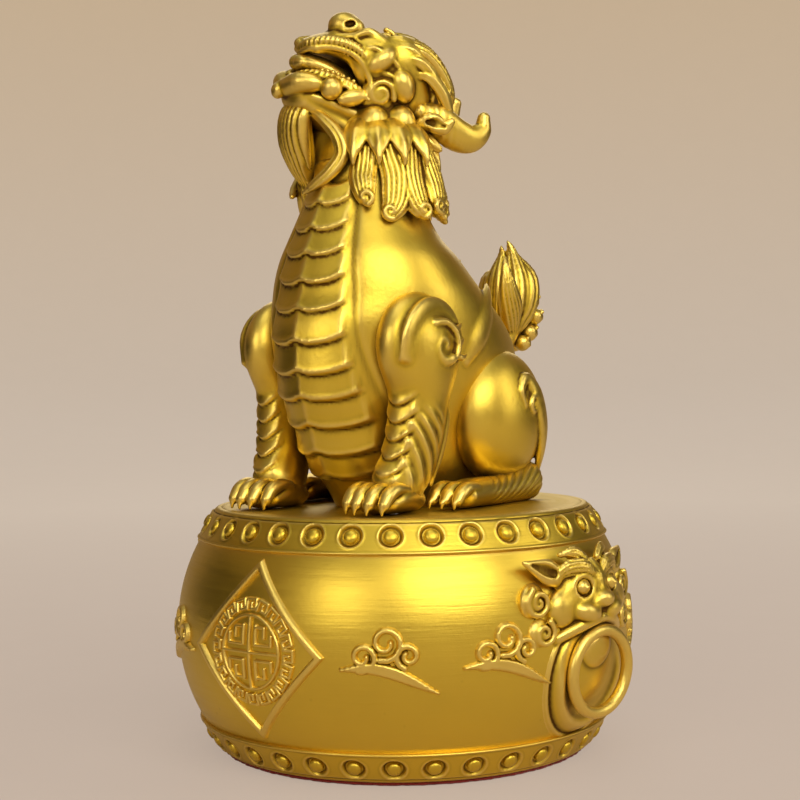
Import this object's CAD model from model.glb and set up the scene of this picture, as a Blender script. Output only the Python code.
"""A foo dog seated on a drum, in cast brass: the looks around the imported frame.

Forms are worked out in millimetres as signed distances, which blend and carve as clay does, and are
then skinned with quads. Finished meshes are in metres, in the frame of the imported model.
"""
from __future__ import annotations

import logging
import math
from dataclasses import dataclass, field
from enum import Enum
from typing import Callable, Optional, Sequence

import bpy
import numpy as np
import openvdb
from mathutils import Matrix, Vector

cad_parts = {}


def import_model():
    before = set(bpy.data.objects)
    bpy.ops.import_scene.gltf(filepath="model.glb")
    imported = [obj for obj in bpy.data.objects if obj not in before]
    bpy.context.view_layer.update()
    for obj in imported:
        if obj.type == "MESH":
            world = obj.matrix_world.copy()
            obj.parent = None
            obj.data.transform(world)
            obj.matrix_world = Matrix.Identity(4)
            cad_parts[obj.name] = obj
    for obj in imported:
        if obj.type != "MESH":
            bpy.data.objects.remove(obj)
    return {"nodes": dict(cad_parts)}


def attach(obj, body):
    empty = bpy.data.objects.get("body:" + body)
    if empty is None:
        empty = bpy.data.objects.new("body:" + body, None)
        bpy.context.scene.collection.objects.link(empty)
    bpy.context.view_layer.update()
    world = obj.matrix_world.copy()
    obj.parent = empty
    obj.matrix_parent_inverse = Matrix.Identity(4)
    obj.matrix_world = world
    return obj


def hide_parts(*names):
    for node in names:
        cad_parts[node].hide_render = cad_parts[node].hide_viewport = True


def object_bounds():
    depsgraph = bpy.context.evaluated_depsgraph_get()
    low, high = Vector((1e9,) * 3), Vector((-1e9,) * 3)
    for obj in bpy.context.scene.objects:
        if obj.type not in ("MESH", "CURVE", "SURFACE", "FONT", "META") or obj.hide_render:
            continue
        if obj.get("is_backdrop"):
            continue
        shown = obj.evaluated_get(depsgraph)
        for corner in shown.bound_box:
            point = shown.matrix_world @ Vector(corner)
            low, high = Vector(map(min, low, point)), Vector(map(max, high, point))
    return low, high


log = logging.getLogger("foo_dog")

Array = np.ndarray
Point = Sequence[float]
Distance = Callable[[Array], Array]

MM = 0.001
REACH = 5.0                 # distances are only worked out this near to a form's box
BLOCK = 8                   # voxels along the side of a block when a form is skinned
HOLLOW_SCALE = 2.2          # how fast a groove counts as full of patina
HEAD_TOP = 63.5             # height of the drum head, in millimetres
ROOT = "root"


class Slot(Enum):
    """The record's material slots."""

    FIGURE = "figure_brass"
    DRUM = "drum_brass"
    FELT = "felt"
    STEEL = "steel"


class Side(Enum):
    """The figure's own sides."""

    LEFT = 1
    RIGHT = -1

    @property
    def word(self) -> str:
        """The side's name in a node."""
        return self.name.lower()


# ---------------------------------------------------------------- forms
def soft_min(a: Array, b: Array, soft: float) -> Array:
    """The smaller of two distances, with the join rounded.

    Args:
        a: first distances.
        b: second distances.
        soft: width of the rounding in millimetres.

    Returns:
        The blended distances.
    """
    if soft <= 0:
        return np.minimum(a, b)
    share = np.maximum(soft - np.abs(a - b), 0.0) / soft
    return np.minimum(a, b) - share * share * soft * 0.25


def ramp(value: Array, low: float, high: float) -> Array:
    """A smooth step from 0 at low to 1 at high."""
    t = np.clip((value - low) / (high - low), 0.0, 1.0)
    return t * t * (3 - 2 * t)


class Form:
    """A solid given by its signed distance, in millimetres, and the box that holds it."""

    def __init__(self, distance: Distance, low: Point, high: Point) -> None:
        """Keeps the distance function and the box.

        Args:
            distance: gives the signed distances at points.
            low: lowest corner of its box.
            high: highest corner of its box.
        """
        self.distance = distance
        self.low = np.array(low, dtype=np.float32)
        self.high = np.array(high, dtype=np.float32)

    def at(self, points: Array) -> Array:
        """The signed distances at points; points far from the box get the reach.

        Args:
            points: places in millimetres, one a row.

        Returns:
            The distances.
        """
        near = ((points > self.low - REACH) & (points < self.high + REACH)).all(axis=1)
        if near.all():
            return self.distance(points)
        out = np.full(len(points), REACH, dtype=np.float32)
        if near.any():
            out[near] = self.distance(points[near])
        return out

    def join(self, *others: Form, soft: float = 0.8) -> Form:
        """The union with other forms, with its joins rounded.

        Args:
            others: the forms to add.
            soft: width of the rounding in millimetres.

        Returns:
            The union.
        """

        def distance(points: Array) -> Array:
            """Distance to the union.

            Args:
                points: places in millimetres, one a row.

            Returns:
                Their distances.
            """
            out = self.at(points)
            for other in others:
                out = soft_min(out, other.at(points), soft)
            return out

        lows = np.min([f.low for f in (self, *others)], axis=0)
        highs = np.max([f.high for f in (self, *others)], axis=0)
        return Form(distance, lows, highs)

    def cut(self, *others: Form, soft: float = 0.4) -> Form:
        """The form without the others, with its edges rounded.

        Args:
            others: the forms to take away.
            soft: width of the rounding in millimetres.

        Returns:
            What is left.
        """

        def distance(points: Array) -> Array:
            """Distance to what is left.

            Args:
                points: places in millimetres, one a row.

            Returns:
                Their distances.
            """
            out = self.at(points)
            for other in others:
                out = -soft_min(-out, other.at(points), soft)
            return out

        return Form(distance, self.low, self.high)

    def worked(self, depth: Distance, proud: float = 1.0) -> Form:
        """The form with its surface raised by a function of the points.

        Args:
            depth: gives the rise at points.
            proud: the greatest rise.

        Returns:
            The raised form.
        """

        def distance(points: Array) -> Array:
            """Distance to the worked surface."""
            return self.distance(points) - depth(points)

        return Form(distance, self.low - proud, self.high + proud)

    def placed(self, turn: Array, origin: Point) -> Form:
        """The form moved from its own frame: turned, then shifted to an origin.

        Args:
            turn: rotation out of its own frame.
            origin: where its own frame's origin goes.

        Returns:
            The moved form.
        """
        spin = np.array(turn, dtype=np.float32)
        shift = np.array(origin, dtype=np.float32)
        corners = np.array([[x, y, z] for x in (self.low[0], self.high[0])
                            for y in (self.low[1], self.high[1]) for z in (self.low[2], self.high[2])])
        moved = corners @ spin.T + shift
        return Form(lambda p: self.at((p - shift) @ spin), moved.min(axis=0), moved.max(axis=0))

    def mirrored(self) -> Form:
        """The form's mirror image across the plane x = 0.

        Returns:
            The mirror image.
        """
        flip = np.array([-1, 1, 1], dtype=np.float32)
        low = np.array([-self.high[0], self.low[1], self.low[2]])
        high = np.array([-self.low[0], self.high[1], self.high[2]])
        return Form(lambda p: self.at(p * flip), low, high)

    def both(self, soft: float = 0.4) -> Form:
        """The form joined with its mirror image."""
        return self.join(self.mirrored(), soft=soft)


def turned_frame(yaw: float = 0.0, pitch: float = 0.0, roll: float = 0.0) -> Array:
    """A rotation from yaw about Z, then pitch about X and roll about Y, in degrees.

    Args:
        yaw: turn about Z.
        pitch: turn about X.
        roll: turn about Y.

    Returns:
        The rotation matrix.
    """
    spin = (Matrix.Rotation(math.radians(yaw), 3, "Z") @ Matrix.Rotation(math.radians(pitch), 3, "X")
            @ Matrix.Rotation(math.radians(roll), 3, "Y"))
    return np.array(spin, dtype=np.float32)


def egg(centre: Point, radii: Point, yaw: float = 0.0, pitch: float = 0.0, roll: float = 0.0) -> Form:
    """An ellipsoid.

    Args:
        centre: its centre.
        radii: its half sizes along its own axes.
        yaw: turn about Z in degrees.
        pitch: turn about X in degrees.
        roll: turn about Y in degrees.

    Returns:
        The form.
    """
    middle = np.array(centre, dtype=np.float32)
    half = np.array(radii, dtype=np.float32)
    spin = turned_frame(yaw, pitch, roll)

    def distance(points: Array) -> Array:
        """Distance to the ellipsoid, near enough to be blended.

        Args:
            points: places in millimetres, one a row.

        Returns:
            Their distances.
        """
        local = (points - middle) @ spin
        outer = np.linalg.norm(local / half, axis=1)
        slope = np.linalg.norm(local / (half * half), axis=1)
        return outer * (outer - 1) / np.maximum(slope, 1e-6)

    reach = np.abs(spin) @ half
    return Form(distance, middle - reach, middle + reach)


def smooth_path(stations: Sequence[Point], steps: int) -> Array:
    """Stations of any number of columns, joined by a Catmull-Rom curve.

    Args:
        stations: the rows that it passes.
        steps: runs between two of them.

    Returns:
        The rows along the curve.
    """
    rows = np.array(stations, dtype=np.float64)
    padded = np.vstack([2 * rows[0] - rows[1], rows, 2 * rows[-1] - rows[-2]])
    out = []
    for i in range(1, len(padded) - 2):
        p0, p1, p2, p3 = padded[i - 1:i + 3]
        for t in np.linspace(0, 1, steps, endpoint=False):
            out.append(0.5 * (2 * p1 + (p2 - p0) * t + (2 * p0 - 5 * p1 + 4 * p2 - p3) * t ** 2
                              + (3 * p1 - p0 - 3 * p2 + p3) * t ** 3))
    out.append(padded[-2])
    return np.array(out, dtype=np.float32)


@dataclass(frozen=True)
class Ribs:
    """Strands along a lock of hair.

    Attributes:
        count: strands across the lock's width.
        depth: depth of the grooves between them.
        twist: how far the strands drift across from root to tip, in strands.
    """

    count: float
    depth: float
    twist: float = 0.0


def strand(stations: Sequence[Point], out: Point = (0, 0, 1), ribs: Optional[Ribs] = None,
           steps: int = 4) -> Form:
    """A rod of changing oval section along a smooth path, with round ends.

    Args:
        stations: (x, y, z, half width, half depth) along the path.
        out: the direction that the depth is measured in, roughly square to the path.
        ribs: strands cut along it, if it is hair.
        steps: straight runs between two stations.

    Returns:
        The form.
    """
    path = smooth_path(stations, steps)
    centres, widths, depths = path[:, :3], np.maximum(path[:, 3], 0.15), np.maximum(path[:, 4], 0.15)
    aim = np.array(out, dtype=np.float32)
    lengths = np.linalg.norm(np.diff(centres, axis=0), axis=1)
    travelled = np.concatenate([[0], np.cumsum(lengths)]) / max(float(lengths.sum()), 1e-6)
    runs = []
    for i in range(len(centres) - 1):
        run = centres[i + 1] - centres[i]
        tangent = run / max(float(np.linalg.norm(run)), 1e-6)
        across = np.cross(tangent, aim)
        across /= max(float(np.linalg.norm(across)), 1e-6)
        runs.append((centres[i], run, tangent, across, np.cross(across, tangent), i))

    def distance(points: Array) -> Array:
        """Distance to the rod, near enough to be blended.

        Args:
            points: places in millimetres, one a row.

        Returns:
            Their distances.
        """
        best = np.full(len(points), 1e9, dtype=np.float32)
        result = np.full(len(points), 1e9, dtype=np.float32)
        for start, run, tangent, across, rise, i in runs:
            offset = points - start
            t = np.clip(offset @ run / max(float(run @ run), 1e-9), 0.0, 1.0)
            offset = offset - t[:, None] * run
            square = np.einsum("ij,ij->i", offset, offset)
            nearer = square < best
            if not nearer.any():
                continue
            offset, t = offset[nearer], t[nearer]
            best[nearer] = square[nearer]
            width = widths[i] + (widths[i + 1] - widths[i]) * t
            depth = depths[i] + (depths[i + 1] - depths[i]) * t
            u, v, w = offset @ across / width, offset @ rise / depth, offset @ tangent
            least = np.minimum(width, depth)
            w = w / least
            outer = np.sqrt(u * u + v * v + w * w)
            slope = np.sqrt((u / width) ** 2 + (v / depth) ** 2 + (w / least) ** 2)
            value = outer * (outer - 1) / np.maximum(slope, 1e-6)
            if ribs is not None:
                along = travelled[i] + (travelled[i + 1] - travelled[i]) * t
                drift = ribs.twist * along
                crest = np.abs(np.sin(math.pi * (u * ribs.count * 0.5 + drift + 0.5)))
                value = value + ribs.depth * (1 - crest) * np.clip(outer, 0, 1)
            result[nearer] = value
        return result

    spread = np.maximum(path[:, 3], path[:, 4])[:, None]
    return Form(distance, (centres - spread).min(axis=0), (centres + spread).max(axis=0))


def curl(centre: Point, radius: float, wire: float, turns: float, out: Point, start: float = 0.0,
         depth: float = 1.0) -> Form:
    """A spiral roll of hair, flat on the plane square to a direction.

    Args:
        centre: the spiral's eye.
        radius: its outer radius.
        wire: half thickness of the roll.
        turns: number of turns, negative to wind the other way.
        out: the direction that it faces.
        start: angle of the outer end in degrees.
        depth: height of the roll over its half thickness.

    Returns:
        The form.
    """
    face = Vector(out).normalized()
    right = face.orthogonal().normalized() if abs(face.z) > 0.9 else face.cross(Vector((0, 0, 1))).normalized()
    up = right.cross(face)
    stations = []
    for i in range(13):
        t = i / 12
        angle = math.radians(start) + 2 * math.pi * turns * t
        size = radius * (1 - 0.88 * t)
        place = Vector(centre) + right * (size * math.cos(angle)) + up * (size * math.sin(angle))
        thick = wire * (1 - 0.35 * t)
        stations.append((*place, thick, thick * depth))
    return strand(stations, out, steps=2)


def level_loft(stations: Sequence[Point]) -> Form:
    """A form with level oval sections, from (z, centre y, half width, half length).

    Args:
        stations: the sections, from the lowest up.

    Returns:
        The form.
    """
    rows = smooth_path(stations, 6)
    heights = rows[:, 0]

    def distance(points: Array) -> Array:
        """Distance to the loft.

        Args:
            points: places in millimetres, one a row.

        Returns:
            Their distances.
        """
        z = points[:, 2]
        middle = np.interp(z, heights, rows[:, 1])
        width, length = np.interp(z, heights, rows[:, 2]), np.interp(z, heights, rows[:, 3])
        x, y = points[:, 0], points[:, 1] - middle
        outer = np.sqrt((x / width) ** 2 + (y / length) ** 2)
        slope = np.sqrt((x / width ** 2) ** 2 + (y / length ** 2) ** 2)
        side = outer * (outer - 1) / np.maximum(slope, 1e-6)
        ends = np.maximum(heights[0] - z, z - heights[-1])
        return -soft_min(-side, -ends, 1.5).astype(np.float32)

    half, front = rows[:, 2].max(), rows[:, 3]
    low = (-half, (rows[:, 1] - front).min(), heights[0])
    high = (half, (rows[:, 1] + front).max(), heights[-1])
    return Form(distance, low, high)


# ---------------------------------------------------------------- meshes
def skin(form: Form, voxel: float) -> tuple[Array, Array]:
    """Quads over a form's surface.

    Only the blocks that the surface may cross are worked out.

    Args:
        form: the form.
        voxel: size of a quad in millimetres.

    Returns:
        Points in millimetres and quads.
    """
    low = form.low - 2 * voxel
    side = BLOCK * voxel
    counts = np.ceil((form.high + 2 * voxel - low) / side).astype(int)
    index = np.indices(counts).reshape(3, -1).T
    centres = (low + (index + 0.5) * side - voxel / 2).astype(np.float32)
    rough = form.at(centres)
    reach = side * 0.9 + 0.9
    near = np.abs(rough) < reach
    grid = np.repeat(np.repeat(np.repeat(
        np.sign(rough).reshape(counts), BLOCK, 0), BLOCK, 1), BLOCK, 2).astype(np.float32) * 3 * voxel
    cells = np.indices((BLOCK, BLOCK, BLOCK)).reshape(3, -1).T
    blocks = index[near]
    for part in np.array_split(blocks, max(1, len(blocks) * BLOCK ** 3 // 400_000)):
        ijk = (part[:, None, :] * BLOCK + cells[None]).reshape(-1, 3)
        values = form.at((low + ijk * voxel).astype(np.float32))
        grid[ijk[:, 0], ijk[:, 1], ijk[:, 2]] = values
    volume = openvdb.FloatGrid(3 * voxel)
    volume.copyFromArray(np.clip(grid, -3 * voxel, 3 * voxel))
    points, quads = volume.convertToQuads(0.0)
    return points.astype(np.float64) * voxel + low, quads.astype(np.int32)


def neighbours(quads: Array) -> tuple[Array, Array]:
    """The two ends of every edge, both ways round."""
    ends = np.concatenate([quads[:, [0, 1]], quads[:, [1, 2]], quads[:, [2, 3]], quads[:, [3, 0]]])
    return np.concatenate([ends[:, 0], ends[:, 1]]), np.concatenate([ends[:, 1], ends[:, 0]])


def eased(values: Array, links: tuple[Array, Array], rounds: int) -> Array:
    """Values at the points, averaged with their neighbours a number of times.

    Args:
        values: one row a point.
        links: the two ends of every edge.
        rounds: how many times.

    Returns:
        The averaged rows.
    """
    here, there = links
    total = np.bincount(here, minlength=len(values)).astype(np.float64)
    out = values
    for _ in range(rounds):
        columns = [np.bincount(here, weights=out[there, c], minlength=len(out)) for c in range(out.shape[1])]
        out = np.stack(columns, axis=1) / total[:, None]
    return out


def point_normals(points: Array, quads: Array) -> Array:
    """A unit normal at each point.

    Args:
        points: places in millimetres, one a row.
        quads: the faces' corners.

    Returns:
        The normals, one a row.
    """
    corner = points[quads]
    faces = np.cross(corner[:, 2] - corner[:, 0], corner[:, 3] - corner[:, 1])
    out = np.zeros_like(points)
    for c in range(3):
        weights = np.repeat(faces[:, c], 4)
        out[:, c] = np.bincount(quads.ravel(), weights=weights, minlength=len(points))
    return out / np.maximum(np.linalg.norm(out, axis=1), 1e-12)[:, None]


def hollowness(points: Array, quads: Array, voxel: float) -> Array:
    """How deep in a groove each point lies, from 0 on open ground to 1.

    Args:
        points: places in millimetres, one a row.
        quads: the faces' corners.
        voxel: size of a quad in millimetres.

    Returns:
        One number a point, below 0 on an edge.
    """
    links = neighbours(quads)
    normals = point_normals(points, quads)
    out = np.zeros(len(points))
    moved, done = points, 0
    for width, weight in ((0.6, 1.0), (1.6, 0.9)):
        rounds = max(2, int(1.5 * (width / voxel) ** 2))
        moved = eased(moved, links, rounds - done)
        done = rounds
        depth = np.einsum("ij,ij->i", moved - points, normals) / width
        out = out + weight * depth
    return np.clip(out * HOLLOW_SCALE, -1.0, 1.0)


def mesh_object(name: str, points: Array, faces: Array, smooth: bool = True) -> bpy.types.Object:
    """A linked mesh object from points in millimetres and faces of one size.

    Args:
        name: the object's name.
        points: (n, 3) points in millimetres.
        faces: (m, 3) or (m, 4) corners.
        smooth: whether its faces are shaded smooth.

    Returns:
        The object.
    """
    mesh = bpy.data.meshes.new(name)
    size = faces.shape[1]
    mesh.vertices.add(len(points))
    mesh.vertices.foreach_set("co", (points * MM).astype(np.float32).ravel())
    mesh.loops.add(faces.size)
    mesh.loops.foreach_set("vertex_index", faces.astype(np.int32).ravel())
    mesh.polygons.add(len(faces))
    mesh.polygons.foreach_set("loop_start", np.arange(0, faces.size, size, dtype=np.int32))
    mesh.polygons.foreach_set("use_smooth", np.full(len(faces), smooth))
    mesh.update(calc_edges=True)
    mesh.validate()
    thing = bpy.data.objects.new(name, mesh)
    bpy.context.scene.collection.objects.link(thing)
    return thing


def set_values(thing: bpy.types.Object, name: str, values: Array) -> None:
    """Writes one number per point as an attribute."""
    layer = thing.data.attributes.new(name, "FLOAT", "POINT")
    layer.data.foreach_set("value", values.astype(np.float32))


class Workshop:
    """Makes the pieces, rides them on the frame, and keeps what crowds them for the patina."""

    CELL = 1.0

    def __init__(self, low: Point, high: Point, coarse: bool) -> None:
        """Sets up the crowding grid.

        Args:
            low: lowest corner of the object, in millimetres.
            high: highest corner of the object, in millimetres.
        """
        self.low = np.array(low) - 6
        self.counts = np.ceil((np.array(high) + 6 - self.low) / self.CELL).astype(int)
        self.filled = np.zeros(self.counts, dtype=np.float32)
        self.coarse = coarse
        self.sculpted: list[tuple[bpy.types.Object, Array, Array, float]] = []

    def crowd(self, form: Form) -> None:
        """Marks the room that a form fills.

        Args:
            form: the form.
        """
        start = np.maximum(((form.low - self.low) / self.CELL).astype(int), 0)
        stop = np.minimum(((form.high - self.low) / self.CELL).astype(int) + 2, self.counts)
        index = np.indices(stop - start).reshape(3, -1).T + start
        inside = form.at((index * self.CELL + self.low).astype(np.float32)) < 0
        hit = index[inside]
        self.filled[hit[:, 0], hit[:, 1], hit[:, 2]] = 1.0

    def sculpt(self, name: str, form: Form, voxel: float, finish: bpy.types.Material,
               nodes: Sequence[str]) -> bpy.types.Object:
        """Skins a form as a piece of the object.

        Args:
            name: the piece's name.
            form: its form.
            voxel: size of a quad in millimetres.
            finish: its material.
            nodes: the frame's nodes that it stands for.

        Returns:
            The piece.
        """
        size = voxel * (1.9 if self.coarse else 1.0)
        points, quads = skin(form, size)
        thing = mesh_object(name, points, quads)
        self.sculpted.append((thing, points, quads, size))
        self.crowd(form)
        self.dress(thing, finish, nodes)
        return thing

    def turned(self, name: str, profile: Sequence[Point], count: int, finish: bpy.types.Material, slot: Slot,
               nodes: Sequence[str], relief: Optional[Callable[[Array, Array], Array]] = None) -> None:
        """A closed loop in the (radius, height) plane, turned about Z as a piece of the object.

        Args:
            name: the piece's name.
            profile: the loop's corners.
            count: steps around.
            finish: its material.
            slot: the record's slot.
            nodes: frame nodes that it stands for.
            relief: moves the points, from their places and their angles.
        """
        rows = np.array(profile)
        angles = np.linspace(0, 2 * math.pi, count, endpoint=False)
        radius, spin = np.meshgrid(rows[:, 0], angles, indexing="ij")
        height = np.repeat(rows[:, 1][:, None], count, 1)
        points = np.stack([radius * np.cos(spin), radius * np.sin(spin), height], axis=2).reshape(-1, 3)
        if relief is not None:
            points = points + relief(points, spin.ravel())
        ring, rest = np.arange(count), (np.arange(count) + 1) % count
        quads = []
        for i in range(len(rows)):
            here, there = i * count, (i + 1) % len(rows) * count
            quads.append(np.stack([here + ring, here + rest, there + rest, there + ring], axis=1))
        faces = np.concatenate(quads)
        corner = points[faces]
        volume = np.einsum("ij,ij->i", corner[:, 0], np.cross(corner[:, 1], corner[:, 2])).sum()
        if volume < 0:
            faces = faces[:, ::-1]
        thing = mesh_object(name, points, faces)
        self.sculpted.append((thing, points, faces, 1.0))
        self.dress(thing, finish, nodes)

    def dress(self, thing: bpy.types.Object, finish: bpy.types.Material,
              nodes: Sequence[str]) -> None:
        """Gives a piece its finish and its place in the frame.

        Args:
            thing: the piece.
            finish: its material.
            nodes: frame nodes that it stands for.
        """
        thing.data.materials.clear()
        thing.data.materials.append(finish)
        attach(thing, ROOT)
        if nodes:
            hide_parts(*nodes)
        log.info("%-22s %7d faces", thing.name, len(thing.data.polygons))

    def blurred(self) -> Array:
        """The filled room, spread over a few cells.

        Returns:
            The spread grid.
        """
        out = self.filled
        for _ in range(3):
            for axis in range(3):
                out = (np.roll(out, 1, axis) + np.roll(out, -1, axis) + out) / 3
        return out

    def age(self) -> None:
        """Writes each sculpted piece's hollows, where the patina gathers."""
        crowd = self.blurred()
        for thing, points, quads, voxel in self.sculpted:
            normals = point_normals(points, quads)
            place = (points + normals * 2.2 - self.low) / self.CELL
            base = np.clip(place.astype(int), 0, self.counts - 2)
            part = np.clip(place - base, 0, 1)
            value = np.zeros(len(points))
            for corner in np.indices((2, 2, 2)).reshape(3, -1).T:
                weight = np.prod(np.where(corner == 1, part, 1 - part), axis=1)
                cell = base + corner
                value += weight * crowd[cell[:, 0], cell[:, 1], cell[:, 2]]
            set_values(thing, "crowd", np.clip(value, 0, 1))
            set_values(thing, "hollow", hollowness(points, quads, voxel))


# ---------------------------------------------------------------- finishes
class Value:
    """A socket that adds Math nodes when it is used in an expression."""

    def __init__(self, tree: bpy.types.NodeTree, socket: bpy.types.NodeSocket) -> None:
        """Keeps the tree and the socket."""
        self.tree, self.socket = tree, socket

    def _with(self, kind: str, *others: Value | float, swap: bool = False) -> Value:
        """A Math node of a kind on this socket and others.

        Args:
            kind: the node's operation.
            others: the other values or sockets.
            swap: whether this socket comes last.

        Returns:
            The result.
        """
        node = self.tree.nodes.new("ShaderNodeMath")
        node.operation = kind
        sources = [self, *others]
        if swap:
            sources.reverse()
        for slot, source in zip(node.inputs, sources):
            if isinstance(source, Value):
                self.tree.links.new(source.socket, slot)
            else:
                slot.default_value = source
        return Value(self.tree, node.outputs[0])

    def __add__(self, other: Value | float) -> Value:
        """Sum."""
        return self._with("ADD", other)

    def __radd__(self, other: float) -> Value:
        """Sum with a number on the left."""
        return self._with("ADD", other)

    def __sub__(self, other: Value | float) -> Value:
        """Difference."""
        return self._with("SUBTRACT", other)

    def __rsub__(self, other: float) -> Value:
        """Difference from a number."""
        return self._with("SUBTRACT", other, swap=True)

    def __mul__(self, other: Value | float) -> Value:
        """Product."""
        return self._with("MULTIPLY", other)

    def __rmul__(self, other: float) -> Value:
        """Product with a number on the left."""
        return self._with("MULTIPLY", other)

    def __truediv__(self, other: Value | float) -> Value:
        """Quotient."""
        return self._with("DIVIDE", other)

    def __pow__(self, other: float) -> Value:
        """Power."""
        return self._with("POWER", other)

    def call(self, kind: str, *others: Value | float) -> Value:
        """Any other Math operation, such as a sine."""
        return self._with(kind, *others)

    def held(self) -> Value:
        """The value held between 0 and 1."""
        return self._with("MAXIMUM", 0.0)._with("MINIMUM", 1.0)


class Shader:
    """A material under construction."""

    def __init__(self, name: str) -> None:
        """Starts an empty material with its output.

        Args:
            name: the material's name.
        """
        self.material = bpy.data.materials.new(name)
        self.material.use_nodes = True
        self.tree = self.material.node_tree
        self.tree.nodes.clear()
        self.output = self.tree.nodes.new("ShaderNodeOutputMaterial")

    def node(self, kind: str, settings: Optional[dict] = None, out: int | str = 0, **sockets: object) -> Value:
        """Adds a node.

        Args:
            kind: the node's type.
            settings: its properties, set before its sockets.
            out: the output that is wanted.
            **sockets: values or links, by socket name with underscores for spaces.

        Returns:
            The wanted output.
        """
        node = self.tree.nodes.new(kind)
        for key, value in (settings or {}).items():
            setattr(node, key, value)
        for key, value in sockets.items():
            slot = node.inputs[key.replace("_", " ")]
            if isinstance(value, Value):
                self.tree.links.new(value.socket, slot)
            else:
                slot.default_value = value
        return Value(self.tree, node.outputs[out])

    def position(self) -> Value:
        """Object coordinates."""
        return self.node("ShaderNodeTexCoord", out="Object")

    def attribute(self, name: str) -> Value:
        """A number stored on the piece's points."""
        return self.node("ShaderNodeAttribute", {"attribute_name": name}, out="Fac")

    def noise(self, vector: Value, scale: float, detail: float = 3.0, rough: float = 0.55) -> Value:
        """Plain noise from 0 to 1."""
        return self.node("ShaderNodeTexNoise", Vector=vector, Scale=scale, Detail=detail, Roughness=rough)

    def mix(self, factor: Value | float, first: object, second: object) -> Value:
        """Two colours mixed.

        Args:
            factor: share of the second.
            first: first colour.
            second: second colour.

        Returns:
            The mixed colour.
        """
        node = self.tree.nodes.new("ShaderNodeMix")
        node.data_type = "RGBA"
        for slot, value in ((node.inputs[0], factor), (node.inputs[6], first), (node.inputs[7], second)):
            if isinstance(value, Value):
                self.tree.links.new(value.socket, slot)
            else:
                slot.default_value = value
        return Value(self.tree, node.outputs[2])

    def split(self, vector: Value) -> tuple[Value, Value, Value]:
        """The three parts of a vector.

        Args:
            vector: the vector.

        Returns:
            Its three parts.
        """
        node = self.tree.nodes.new("ShaderNodeSeparateXYZ")
        self.tree.links.new(vector.socket, node.inputs[0])
        return tuple(Value(self.tree, s) for s in node.outputs)

    def joined(self, x: Value | float, y: Value | float, z: Value | float) -> Value:
        """A vector from three values."""
        return self.node("ShaderNodeCombineXYZ", X=x, Y=y, Z=z)

    def bump(self, height: Value, strength: float, distance: float) -> Value:
        """A bumped normal."""
        return self.node("ShaderNodeBump", Height=height, Strength=strength, Distance=distance)

    def finish(self, surface: Value) -> bpy.types.Material:
        """Links the surface to the output."""
        self.tree.links.new(surface.socket, self.output.inputs[0])
        return self.material


class Grain(Enum):
    """How a brass surface was worked after casting."""

    CAST = 0
    BRUSHED_ROUND = 1


@dataclass(frozen=True)
class Brass:
    """Satin brass with brown patina in its hollows.

    Attributes:
        name: the material's name.
        bright: colour of the polished metal.
        patina: colour of the metal in the hollows.
        roughness: roughness of the polished metal.
        hollow_gain: how strongly fine grooves darken.
        crowd_gain: how strongly crowded places darken.
        grain: how the surface was worked.
        grain_depth: strength of the worked surface's bump.
        aged: whether the piece has the hollow and crowd attributes.
        head_height: height in metres over which the drum's head is duller.
    """

    name: str
    bright: tuple[float, float, float] = (0.80, 0.572, 0.060)
    patina: tuple[float, float, float] = (0.12, 0.058, 0.008)
    roughness: float = 0.37
    hollow_gain: float = 1.7
    crowd_gain: float = 1.35
    grain: Grain = Grain.CAST
    grain_depth: float = 0.20
    aged: bool = True
    head_height: float = 0.0628

    def build(self) -> bpy.types.Material:
        """Makes the material.

        Returns:
            The material.
        """
        shader = Shader(self.name)
        place = shader.position()
        cloud = shader.noise(place, 55.0, 4.0, 0.6)
        speck = shader.noise(place, 900.0, 2.0, 0.6)
        pits = shader.node("ShaderNodeTexVoronoi", {"feature": "F1"}, Vector=place, Scale=330.0)
        pit = (1.0 - pits * 5.0).held() * (shader.noise(place, 120.0) * 3.2 - 1.9).held()
        if self.aged:
            groove = (shader.attribute("hollow") * self.hollow_gain).held()
            crowd = ((shader.attribute("crowd") - 0.22) * self.crowd_gain).held()
            dirt = (groove + crowd * 0.9 + (cloud - 0.5) * 0.22 * (groove + crowd + 0.25)).held()
            edge = (shader.attribute("hollow") * -1.6).held()
        else:
            dirt = (cloud * 0.3 - 0.1).held()
            edge = dirt * 0.0
        dirt = (dirt + pit * 0.6).held()
        if self.grain is Grain.BRUSHED_ROUND:
            x, y, z = shader.split(place)
            head = ((z - self.head_height) * 2500.0).held()
            dirt = (dirt + head * (cloud * 0.34 + 0.12)).held()
            angle = y.call("ARCTAN2", x)
            radius = (x * x + y * y) ** 0.5
            ring = shader.joined(angle * 2.2, radius * 600.0, z * 900.0)
            brush = shader.noise(ring, 1.0, 3.0, 0.7)
            height = brush * 0.8 + speck * 0.25 - pit * 1.2
            gloss = (brush - 0.5) * 0.16
        else:
            height = speck * 0.5 + cloud * 0.9 - pit * 1.2
            gloss = (speck - 0.5) * 0.12
        tone = shader.mix(cloud.held(), (*(c * 0.90 for c in self.bright), 1), (*self.bright, 1))
        lit = shader.mix((edge * 0.5).held(), tone, (1.0, 0.76, 0.24, 1))
        colour = shader.mix(dirt, lit, (*self.patina, 1))
        rough = (gloss + self.roughness + dirt * 0.22 + (cloud - 0.5) * 0.08).held()
        normal = shader.bump(height, self.grain_depth, 0.0004)
        surface = shader.node("ShaderNodeBsdfPrincipled", Metallic=1.0, Base_Color=colour, Roughness=rough,
                              Normal=normal)
        return shader.finish(surface)


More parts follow.
